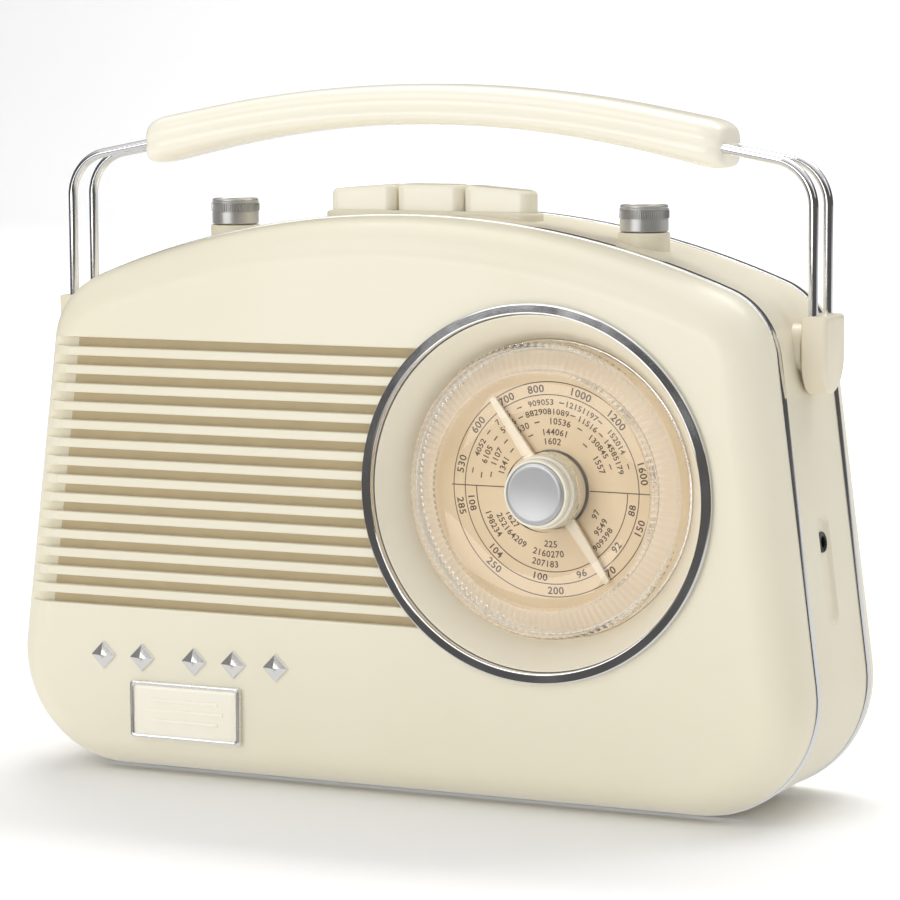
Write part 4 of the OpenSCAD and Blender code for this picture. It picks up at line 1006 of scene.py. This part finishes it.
def see_through(name, tone, passing, grain, dullness, shadow):
    """Clear plastic with a faint haze, whose shadow lets most light by. The grain is the haze's scale
    and detail, and dullness its lowest and highest roughness."""
    made = bpy.data.materials.new(name)
    made.use_nodes = True
    tree = made.node_tree
    skin = tree.nodes["Principled BSDF"]
    for key, value in (("Base Color", tone), ("Transmission Weight", passing), ("IOR", 1.42),
                       ("Metallic", 0.0)):
        skin.inputs[key].default_value = value
    spot = wire(tree, "ShaderNodeTexCoord")
    haze = wire(tree, "ShaderNodeTexNoise", {"Vector": spot.outputs["Object"], "Scale": grain[0],
                                             "Detail": grain[1]})
    hazy = wire(tree, "ShaderNodeMapRange", {0: haze.outputs["Fac"], 3: dullness[0], 4: dullness[1]})
    tree.links.new(hazy.outputs[0], skin.inputs["Roughness"])
    light_kind = wire(tree, "ShaderNodeLightPath")
    let_through = wire(tree, "ShaderNodeBsdfTransparent", {"Color": shadow})
    either = wire(tree, "ShaderNodeMixShader",
                  {0: light_kind.outputs["Is Shadow Ray"], 1: skin.outputs[0], 2: let_through.outputs[0]})
    tree.links.new(either.outputs[0], tree.nodes["Material Output"].inputs["Surface"])
    return made


clear = see_through("clear_moulding", (1.0, 0.99, 0.97, 1), 1.0, (90.0, 3.0), (0.0, 0.02),
                    (0.99, 0.98, 0.97, 1))
frosted = see_through("frosted_ribs", (1.0, 0.98, 0.95, 1), 0.8, (300.0, 2.0), (0.06, 0.14),
                      (0.9, 0.89, 0.87, 1))

rib_count, lens_steps = 120, 720
front_line = [(12.8, 5.6, 0), (24.0, 5.6, 0), (36.9, 5.6, 0), (37.4, 5.25, 0), (37.8, 4.95, 0.3),
              (38.2, 4.95, 0.5),
              (38.6, 5.3, 0.6), (39.0, 5.75, 1), (40.5, 6.15, 1), (42.0, 6.55, 1), (43.5, 6.95, 1),
              (45.0, 7.35, 1),
              (45.6, 7.3, 0.8), (46.0, 7.05, 0.6), (46.4, 7.05, 0.6), (46.9, 7.4, 0.4), (47.3, 7.9, 0.1),
              (47.55, 8.4, 0)]
back_line = [(47.55, plate_depth - 0.02, 0), (46.2, plate_depth - 0.02, 0), (46.2, 9.6, 0), (45.6, 8.9, 0),
             (44.6, 8.55, 0),
             (39.0, 7.05, 0), (38.0, 6.95, 0), (24.0, 7.0, 0), (12.8, 7.0, 0)]
lens_line = front_line + back_line
rings = [[(dial_x + r * MM * math.cos(a), front_y + f * MM, dial_z + r * MM * math.sin(a)) for r, f,
          _ in lens_line]
         for a in (2 * math.pi * i / lens_steps for i in range(lens_steps))]
dial_lens = lofted("dial_lens_ribbed", rings, clear, 60, loop=True)
share = dial_lens.data.attributes.new("ribbed", "FLOAT", "POINT")
share.data.foreach_set("value", [k for _ in range(lens_steps) for _, _, k in lens_line])

rib_tree, fed = rule("ribs_pressed_round_a_ring",
                     {"Ring": "Geometry", "Centre": "Vector", "Count": "Float", "Depth": "Float"}, "Ribbed")
where = wire(rib_tree, "GeometryNodeInputPosition")
off = wire(rib_tree, "ShaderNodeVectorMath", {0: where.outputs[0], 1: fed.outputs["Centre"]},
           operation="SUBTRACT")
axes = wire(rib_tree, "ShaderNodeSeparateXYZ", {0: off.outputs[0]})
angle = reckon(rib_tree, "ARCTAN2", axes.outputs["Z"], axes.outputs["X"])
phase = reckon(rib_tree, "MULTIPLY", angle, fed.outputs["Count"])
swing = reckon(rib_tree, "COSINE", phase)
mark = wire(rib_tree, "GeometryNodeInputNamedAttribute", {"Name": "ribbed"}, data_type="FLOAT")
strength = reckon(rib_tree, "MULTIPLY", mark.outputs["Attribute"], fed.outputs["Depth"])
shift = reckon(rib_tree, "MULTIPLY", swing, strength)
push = wire(rib_tree, "ShaderNodeCombineXYZ", {"Y": shift})
shaped = wire(rib_tree, "GeometryNodeSetPosition", {"Geometry": fed.outputs["Ring"], "Offset": push.outputs[0]})
coated = wire(rib_tree, "GeometryNodeSetMaterial", {"Geometry": shaped.outputs[0], "Material": clear})
ribbed = reckon(rib_tree, "GREATER_THAN", mark.outputs["Attribute"], 0.3)
frosty = wire(rib_tree, "GeometryNodeSetMaterial",
              {"Geometry": coated.outputs[0], "Selection": ribbed, "Material": frosted})
rib_tree.links.new(frosty.outputs[0], wire(rib_tree, "NodeGroupOutput").inputs[0])
grow(dial_lens, rib_tree, {"Centre": dial_at, "Count": float(rib_count), "Depth": 0.42 * MM})
dial_lens.data.shade_smooth()
dial_lens.data.set_sharp_from_angle(angle=math.radians(60))
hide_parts("dial_lens")
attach(dial_lens, "case")


# ---- Pointer and tuning knob ----
# A cream blade with two arms clamped under the knob, and a stepped cream knob with a turned
# aluminium cap pressed into its face.

pointer_low, pointer_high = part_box("pointer")
pointer_angle = math.radians(35)
pale_blade = finish_with("pale_blade", moulded_skin,
                         {"Tone": from_screen(246, 234, 210), "Shade": from_screen(244, 230, 205),
                          "Gloss": 0.3},
                         bump=0.000005, plain={"Coat Weight": 0.2})
blade_line = []
for arm in (0, math.pi):
    along_arm = math.pi / 2 + pointer_angle + arm
    for r, half in ((12.0, -2.0), (35.4, -1.15), (35.8, -0.8), (35.8, 0.8), (35.4, 1.15), (12.0, 2.0)):
        blade_line.append((along_arm, r * MM, half * MM))


def blade_ring(y, trim):
    ring = []
    for a, r, half in blade_line:
        side = half - math.copysign(trim, half)
        far = r - (trim if r > 20 * MM else 0)
        ring.append((dial_x + far * math.cos(a) - side * math.sin(a), y,
                     dial_z + far * math.sin(a) + side * math.cos(a)))
    return ring


rings = [blade_ring(pointer_high.y, 0), blade_ring(pointer_low.y + 0.3 * MM, 0),
         blade_ring(pointer_low.y + 0.08 * MM, 0.1 * MM), blade_ring(pointer_low.y, 0.35 * MM)]
blade = lofted("pointer_blade", rings, pale_blade)
hub = turned("pointer_hub", scaled([(3.1, 0), (12.2, 0), (12.2, 0.95), (3.1, 0.95)]),
             (dial_x, pointer_low.y + 0.02 * MM, dial_z), pale_blade, "Y", 96)
blade = joined("pointer_blade", [blade, hub])
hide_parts("pointer")
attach(blade, "tuner")

pointer_depth = (pointer_low.y - front_y) / MM
knob_line = [(3.0, 3.2), (3.0, 1.05), (9.95, 1.05), (9.97, 0.62), (10.3, 0.5), (10.65, 0.6), (10.9, 0.95),
             (11.02, 3.3),
             (10.9, 3.6), (10.6, 3.7), (10.6, 4.15), (11.3, 4.3), (11.6, 4.6), (11.6, 6.0), (11.4, 6.25),
             (11.0, 6.35),
             (11.0, 6.8), (11.6, 6.95), (11.9, 7.5), (12.25, pointer_depth - 0.5), (12.2, pointer_depth - 0.05),
             (3.0, pointer_depth - 0.05)]
knob = turned("tuning_knob_body", scaled(knob_line), dial_at, gloss_cream, "Y", 128, 35)
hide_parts("tuning_knob")
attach(knob, "tuner")

# Turned metal: fine rings cut round the piece's own axis
turned_skin, fed, gives = effect(
    "turned_skin", {"Vector": ("vector", None), "Tone": ("colour", (0.7, 0.7, 0.71, 1)),
                    "Rings": ("value", 5000.0),
                    "Satin": ("value", 0.3)})
reach = wire(turned_skin, "ShaderNodeVectorMath", {0: fed.outputs["Vector"]}, operation="LENGTH")
ring = reckon(turned_skin, "MULTIPLY", reach.outputs["Value"], fed.outputs["Rings"])
groove = wire(turned_skin, "ShaderNodeTexNoise", {"W": ring, "Scale": 1.0, "Detail": 2.0},
              noise_dimensions="1D")
cloud = wire(turned_skin, "ShaderNodeTexNoise", {"Vector": fed.outputs["Vector"], "Scale": 120.0,
                                                 "Detail": 2.0})
satin = reckon(turned_skin, "MULTIPLY_ADD", cloud.outputs["Fac"], 0.1, fed.outputs["Satin"])
tint = mixed(turned_skin, groove.outputs["Fac"], fed.outputs["Tone"], (0.5, 0.5, 0.5, 1))
put_out(turned_skin, gives, tint, satin, groove.outputs["Fac"])


def turned_finish(name, centre, keep, tone=(0.74, 0.74, 0.75, 1), satin=0.26):
    """A turned metal finish whose rings run round an axis through centre. keep is 0 along the axis and
    1 across it."""
    made = finish_with(name, turned_skin, {"Tone": tone, "Satin": satin}, bump=0.000004,
                       plain={"Metallic": 0.7})
    tree = made.node_tree
    at = wire(tree, "ShaderNodeTexCoord")
    fit = wire(tree, "ShaderNodeMapping", {"Vector": at.outputs["Object"], "Scale": keep,
                                           "Location": tuple(-c * k for c, k in zip(centre, keep))})
    look = next(n for n in tree.nodes if n.type == "GROUP")
    tree.links.new(fit.outputs[0], look.inputs["Vector"])
    return made


cap_metal = turned_finish("turned_cap", dial_at, (1, 0, 1), (0.66, 0.66, 0.67, 1), 0.3)
cap_line = [(0.0, -0.05), (3.0, -0.12), (6.0, -0.28), (8.2, -0.46), (8.7, -0.5), (9.15, -0.46), (9.55, -0.3),
            (9.8, 0.0), (9.88, 0.3), (9.9, 0.95), (0.0, 0.95)]
cap = turned("tuning_cap_disc", scaled(cap_line), dial_at, cap_metal, "Y", 128, 35)
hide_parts("tuning_cap")
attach(cap, "tuner")
coat("tuning_shaft", steel)
gang_skin = finish_with("gang_plastic", moulded_skin,
                        {"Tone": (0.6, 0.6, 0.56, 1), "Shade": (0.55, 0.55, 0.5, 1), "Gloss": 0.3},
                        bump=0.00001)
coat("tuning_gang", gang_skin)


# ---- Keys ----
# Three gloss cream keys side by side in the plinth. Their tops follow the arch, their edges are
# rounded, and so are the corners of each.

key_edge, key_corner = 1.5 * MM, 3.7 * MM
key_foot = under_z + 180.8 * MM
key_bodies = {"key_left": "key_l", "key_middle": "key_m", "key_right": "key_r"}
for place_no, (node, body) in enumerate(key_bodies.items()):
    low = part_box(node)[0]
    mid_x = (place_no - 1) * key_pitch

    def key_ring(inset, drop, z=None):
        ring = []
        for cx, cy, a0 in ((1, 1, 0), (-1, 1, 90), (-1, -1, 180), (1, -1, 270)):
            r = max(0.2 * MM, key_corner - inset)
            for a in np.linspace(math.radians(a0), math.radians(a0 + 90), 9):
                x = mid_x + cx * (key_w / 2 - inset - r) + r * math.cos(a)
                y = deck_y + cy * (key_d / 2 - inset - r) + r * math.sin(a)
                ring.append((x, y, arch_height(x, key_lift) - drop if z is None else z))
        return ring

    rings = [key_ring(0, 0, z=key_foot)]
    rings += [key_ring(key_edge * (1 - math.cos(a)), key_edge * (1 - math.sin(a)))
              for a in np.linspace(0, math.pi / 2, 9)]
    rings += [key_ring(key_edge + k * MM, 0.0) for k in (1.2, 2.4, 3.4)]
    top = lofted(node + "_cap", rings, gloss_cream)
    stem_rings = [[(x, y, z) for x, y in plan_ring(5 * MM, 5 * MM, 0.4 * MM, mid_x, deck_y, 3)]
                  for z in (low.z, under_z + 180.9 * MM)]
    stem = lofted(node + "_stem", stem_rings, gloss_cream)
    key = joined(node + "_cap", [top, stem])
    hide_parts(node)
    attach(key, body)
for node in ("key_spring_left", "key_spring_middle", "key_spring_right"):
    coat(node, steel)
switch_skin = finish_with("switch_plastic", moulded_skin,
                          {"Tone": (0.05, 0.05, 0.055, 1), "Shade": (0.07, 0.07, 0.07, 1), "Gloss": 0.45},
                          bump=0.00002)
coat("switch_bank", switch_skin)


# ---- Volume and tone knobs ----
# Turned aluminium with a dished top, a bright rounded rim, a groove, and a knurled band above a
# smooth satin foot. A small white tick marks each one's setting.

knurl_tree, fed = rule("knurls_round_a_knob",
                       {"Knurl": "Geometry", "Count": "Int", "Centre": "Vector", "Finish": "Material"},
                       "Knurls")
dots = wire(knurl_tree, "GeometryNodeMeshLine", {"Count": fed.outputs["Count"],
                                                 "Start Location": fed.outputs["Centre"],
                                                 "Offset": (0, 0, 0)})
number = wire(knurl_tree, "GeometryNodeInputIndex")
part = reckon(knurl_tree, "DIVIDE", number.outputs[0], fed.outputs["Count"])
round_turn = reckon(knurl_tree, "MULTIPLY", part, 2 * math.pi)
spun = wire(knurl_tree, "ShaderNodeCombineXYZ", {"Z": round_turn})
copies = wire(knurl_tree, "GeometryNodeInstanceOnPoints",
              {"Points": dots.outputs["Mesh"], "Instance": fed.outputs["Knurl"], "Rotation": spun.outputs[0]})
real = wire(knurl_tree, "GeometryNodeRealizeInstances", {"Geometry": copies.outputs["Instances"]})
coated = wire(knurl_tree, "GeometryNodeSetMaterial",
              {"Geometry": real.outputs[0], "Material": fed.outputs["Finish"]})
knurl_tree.links.new(coated.outputs[0], wire(knurl_tree, "NodeGroupOutput").inputs[0])

white_paint = finish_with("white_paint", moulded_skin,
                          {"Tone": (0.8, 0.8, 0.78, 1), "Shade": (0.74, 0.74, 0.72, 1), "Gloss": 0.5})
for side, x, body in (("volume", -knob_x, "volume"), ("tone", knob_x, "tone")):
    base = (x, deck_y, knob_low.z)
    metal = turned_finish(f"{side}_metal", base, (1, 1, 0), (0.66, 0.65, 0.63, 1), 0.26)
    line = [(3.0, 6.2), (3.0, 0), (7.5, 0), (7.78, 0.25), (7.8, 3.9), (7.55, 4.0), (7.55, 6.9), (7.95, 7.0),
            (8.0, 7.1),
            (7.95, 7.25), (7.6, 7.35), (7.62, 7.6)]
    line += [(7.0 + 0.68 * math.cos(a), 7.85 + 0.62 * math.sin(a)) for a in np.linspace(0.0, math.pi - 0.3, 10)]
    line += [(6.25, 7.6), (0, 7.6), (0, 6.2)]
    body_piece = turned(f"{side}_knob_body", scaled(line), base, metal, "Z", 96, 35)
    rib = [[(r * MM, k * w * MM, z * MM) for r, k, w in ((7.4, -1, 0.22), (8.02, -1, 0.07), (8.08, 0, 0),
                                                         (8.02, 1, 0.07), (7.4, 1, 0.22))]
           for z in (4.15, 4.3, 6.65, 6.8)]
    rib[0] = [(min(p[0], 7.8 * MM), p[1], p[2]) for p in rib[0]]
    rib[3] = [(min(p[0], 7.8 * MM), p[1], p[2]) for p in rib[3]]
    knurls = lofted(f"{side}_knurls", rib, metal)
    grow(knurls, knurl_tree, {"Count": 72, "Centre": base, "Finish": metal})
    tick_rings = [[(x + px, deck_y - 5.2 * MM + py, knob_low.z + z * MM) for px,
                   py in plan_ring(0.7 * MM, 1.8 * MM, 0.2 * MM, 0, 0, 3)]
                  for z in (7.5, 7.66)]
    tick = lofted(f"{side}_tick", tick_rings, white_paint)
    whole = joined(f"{side}_knob_turned", [body_piece, knurls])
    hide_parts(f"{side}_knob")
    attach(whole, body)
    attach(tick, body)
    coat(f"{side}_spindle", steel)
pot_skin = finish_with("pot_can", plated_skin, {"Tone": (0.5, 0.42, 0.28, 1), "Polish": 0.35}, bump=0.000005,
                       plain={"Metallic": 0.8})
coat("control_pots", pot_skin)


# ---- Handle ----
# Two bent chrome wires run from block to block through a hollow grip in two cream halves, which meet
# along the wires. Each block turns on a pin in the case's side.

grip_top_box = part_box("grip_top")
grip_half = grip_top_box[1].x
grip_w = grip_top_box[1].y - grip_top_box[0].y
arc_r, arc_x = 440 * MM, 80 * MM
slope = math.asin(arc_x / arc_r)
grip_mid_z = grip_top_box[1].z - 8.3 * MM


def seam_z(x):
    if abs(x) < arc_x:
        return grip_mid_z - arc_r + math.sqrt(arc_r ** 2 - x * x)
    return grip_mid_z - arc_r * (1 - math.cos(slope)) - (abs(x) - arc_x) * math.tan(slope)


def grip_ring(x, side, inset=0.0, gap=0.0):
    u = max(0.0, (abs(x) - grip_half + 7 * MM) / (7 * MM))
    shrink = 1 - math.sqrt(max(0.0, 1 - min(1.0, u) ** 2))
    w = grip_w / 2 - 4 * MM * shrink - inset
    deep = 8.3 * MM if side > 0 else 4.9 * MM + 1.9 * MM * (x / (90 * MM)) ** 2
    t = deep - (2.6 if side > 0 else 2.2) * MM * shrink - inset
    ring = []
    for i in range(33):
        a = math.pi * i / 32
        c, s = math.cos(a), max(0.0, math.sin(a))
        y = deck_y + side * w * math.copysign(abs(c) ** 0.6, c)
        lift = t * s ** 0.6
        if lift < gap:
            y -= math.copysign(0.35 * MM * (1 - lift / gap), y - deck_y)
        ring.append((x, y, seam_z(x) + side * lift))
    return ring


grip_xs = [-grip_half + 7 * MM * (1 - math.cos(a)) for a in np.linspace(0, math.pi / 2, 14)]
grip_xs += list(np.linspace(-grip_half + 7 * MM, grip_half - 7 * MM, 61))[1:-1]
grip_xs += [-x for x in reversed(grip_xs[:14])]
for node, side in (("grip_top", 1), ("grip_bottom", -1)):
    rings = [grip_ring(x, side, gap=0.8 * MM) for x in grip_xs]
    half = lofted(node + "_half", rings, gloss_cream, 50)
    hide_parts(node)
    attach(half, "handle")
coat("grip_screws", steel)

rod_low, rod_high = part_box("handle_rod_front")
rod_r = (rod_high.y - rod_low.y) / 2
rod_x = rod_high.x - rod_r
bend_r = 15 * MM
bend_x = rod_x - bend_r
rod_line_z = seam_z(arc_x)
bend_end_x = bend_x + bend_r * math.sin(slope)
bend_z = rod_line_z - (bend_end_x - arc_x) * math.tan(slope) - bend_r * math.cos(slope)


def wire_ring(cx, cz, r, turn_at, y):
    ring = []
    for j in range(24):
        b = 2 * math.pi * j / 24
        q = r + rod_r * math.cos(b)
        ring.append((cx + q * math.cos(turn_at), y - rod_r * math.sin(b), cz + q * math.sin(turn_at)))
    return ring


for node in ("handle_rod_front", "handle_rod_rear"):
    low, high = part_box(node)
    y = (low.y + high.y) / 2
    right_way = math.pi / 2 - slope
    rings = [wire_ring(-bend_x, low.z, bend_r, math.pi, y)]
    rings += [wire_ring(-bend_x, bend_z, bend_r, math.pi - right_way * k, y) for k in np.linspace(0, 1, 25)]
    rings += [wire_ring(0, grip_mid_z - arc_r, arc_r, math.pi / 2 + slope * (1 - k), y)
              for k in np.linspace(0, 2, 25)]
    rings += [wire_ring(bend_x, bend_z, bend_r, right_way * (1 - k), y) for k in np.linspace(0, 1, 25)]
    rings += [wire_ring(bend_x, low.z, bend_r, 0, y)]
    rod = lofted(node + "_wire", rings, chrome, 60)
    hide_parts(node)
    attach(rod, "handle")

cream_block = finish_with(
    "cream_block", moulded_skin,
    {"Tone": from_screen(232, 223, 201), "Shade": from_screen(228, 218, 195), "Gloss": 0.34, "Rub": 0.1},
    bump=0.00001, plain={"Coat Weight": 0.15, "Coat Roughness": 0.15})
block_edge = 1.6 * MM
for node, side in (("handle_block_right", 1), ("handle_block_left", -1)):
    low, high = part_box(node)
    width, foot, head = (high.y - low.y) / 2, low.z, high.z
    turn_z = foot + 11.0 * MM

    def shield(inset):
        ring = [(deck_y + width - inset, head - inset)]
        ring.insert(0, (deck_y - width + inset, head - inset))
        lower = []
        for a in np.linspace(0, math.pi, 29):
            lower.append((deck_y + (width - inset) * math.cos(a),
                          turn_z - (turn_z - foot - inset) * math.sin(a)))
        return ring + lower

    inner_x, outer_x = (low.x, high.x) if side > 0 else (high.x, low.x)
    rings = [[(inner_x + side * 0.5 * MM, y, z) for y, z in shield(0)]]
    rings.insert(0, [(inner_x, y, z) for y, z in shield(0.5 * MM)])
    for a in np.linspace(0, math.pi / 2, 7):
        rings.append([(outer_x - side * block_edge * (1 - math.sin(a)), y, z) for y,
                      z in shield(block_edge * (1 - math.cos(a)))])
    points, faces = bridge(rings)
    shaped_points = []
    for x, y, z in points:
        low_part = max(0.0, (foot + 12 * MM - z) / (12 * MM))
        outer_part = (x - inner_x) / (outer_x - inner_x)
        shaped_points.append((x - side * 1.0 * MM * low_part ** 2 * outer_part, y, z))
    block = face_out(solid_from(node + "_shield", shaped_points, faces, cream_block, 35))
    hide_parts(node)
    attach(block, "handle")
coat("handle_pivots", steel)


# ---- Earphone socket ----
# A round black moulded socket at the upper end of the side recess. It is held from inside, and its
# collar stands up through the recess's floor.

black_skin = finish_with("black_plastic", moulded_skin,
                         {"Tone": (0.012, 0.012, 0.012, 1), "Shade": (0.02, 0.02, 0.02, 1), "Gloss": 0.35},
                         bump=0.00001)
coat("jack_socket", black_skin)
collar_line = scaled([(1.85, -3.1), (1.85, -0.8), (2.2, -0.55), (3.05, -0.55), (3.35, -0.85), (3.35, -3.1)])
jack_collar = turned("socket_collar", collar_line, (0, 0, 0), black_skin, "X", 48)
jack_collar.data.transform(Matrix.Translation((side_at(jack_z), deck_y, jack_z)) @ side_turn)
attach(jack_collar, "case")


# ---- Works inside the case ----
# Seen only through the vents or with the door open: the laminate board and its parts, the ferrite
# aerial, the mains transformer and inlet, and the box with its four cells.

laminate = finish_with("board_laminate", moulded_skin,
                       {"Tone": (0.2, 0.11, 0.03, 1), "Shade": (0.15, 0.08, 0.02, 1), "Gloss": 0.5},
                       bump=0.00001)
coat("main_board", laminate)
small_parts = finish_with("small_parts", moulded_skin,
                          {"Tone": (0.5, 0.5, 0.46, 1), "Shade": (0.1, 0.22, 0.4, 1), "Gloss": 0.35,
                           "Patch": 60.0}, bump=0.00001)
coat("board_parts", small_parts)
ferrite = finish_with("ferrite", moulded_skin,
                      {"Tone": (0.02, 0.02, 0.022, 1), "Shade": (0.03, 0.03, 0.032, 1), "Gloss": 0.5},
                      bump=0.00004)
coat("ferrite_rod", ferrite)
copper = finish_with("wound_copper", plated_skin, {"Tone": (0.6, 0.25, 0.1, 1), "Polish": 0.3}, bump=0.00002,
                     plain={"Metallic": 0.8})
coat("aerial_coils", copper)
iron = finish_with("varnished_iron", plated_skin, {"Tone": (0.22, 0.22, 0.24, 1), "Polish": 0.4}, bump=0.00001,
                   plain={"Metallic": 0.7})
coat("transformer", iron)
coat("mains_inlet", black_skin)
coat("battery_box", black_skin)
jacket = finish_with("cell_jacket", moulded_skin,
                     {"Tone": (0.5, 0.3, 0.06, 1), "Shade": (0.44, 0.26, 0.05, 1), "Gloss": 0.25},
                     plain={"Metallic": 0.5})
coat("battery_cells", jacket)
nickel = finish_with("nickel_strip", plated_skin, {"Tone": (0.55, 0.54, 0.5, 1), "Polish": 0.2},
                     plain={"Metallic": 1.0})
coat("battery_contacts", nickel)
coat("screws", steel)


# ---- Rod aerial ----
# Three drawn brass tubes, plated, that slide in each other and fold down across the back on a
# swivelling knuckle.

aerial_chrome = finish_with("aerial_chrome", plated_skin, {"Tone": (0.78, 0.78, 0.79, 1), "Polish": 0.08},
                            plain={"Metallic": 1.0})
for node in ("aerial_bracket", "aerial_knuckle", "aerial_tube_outer", "aerial_tube_middle", "aerial_tip"):
    coat(node, aerial_chrome)
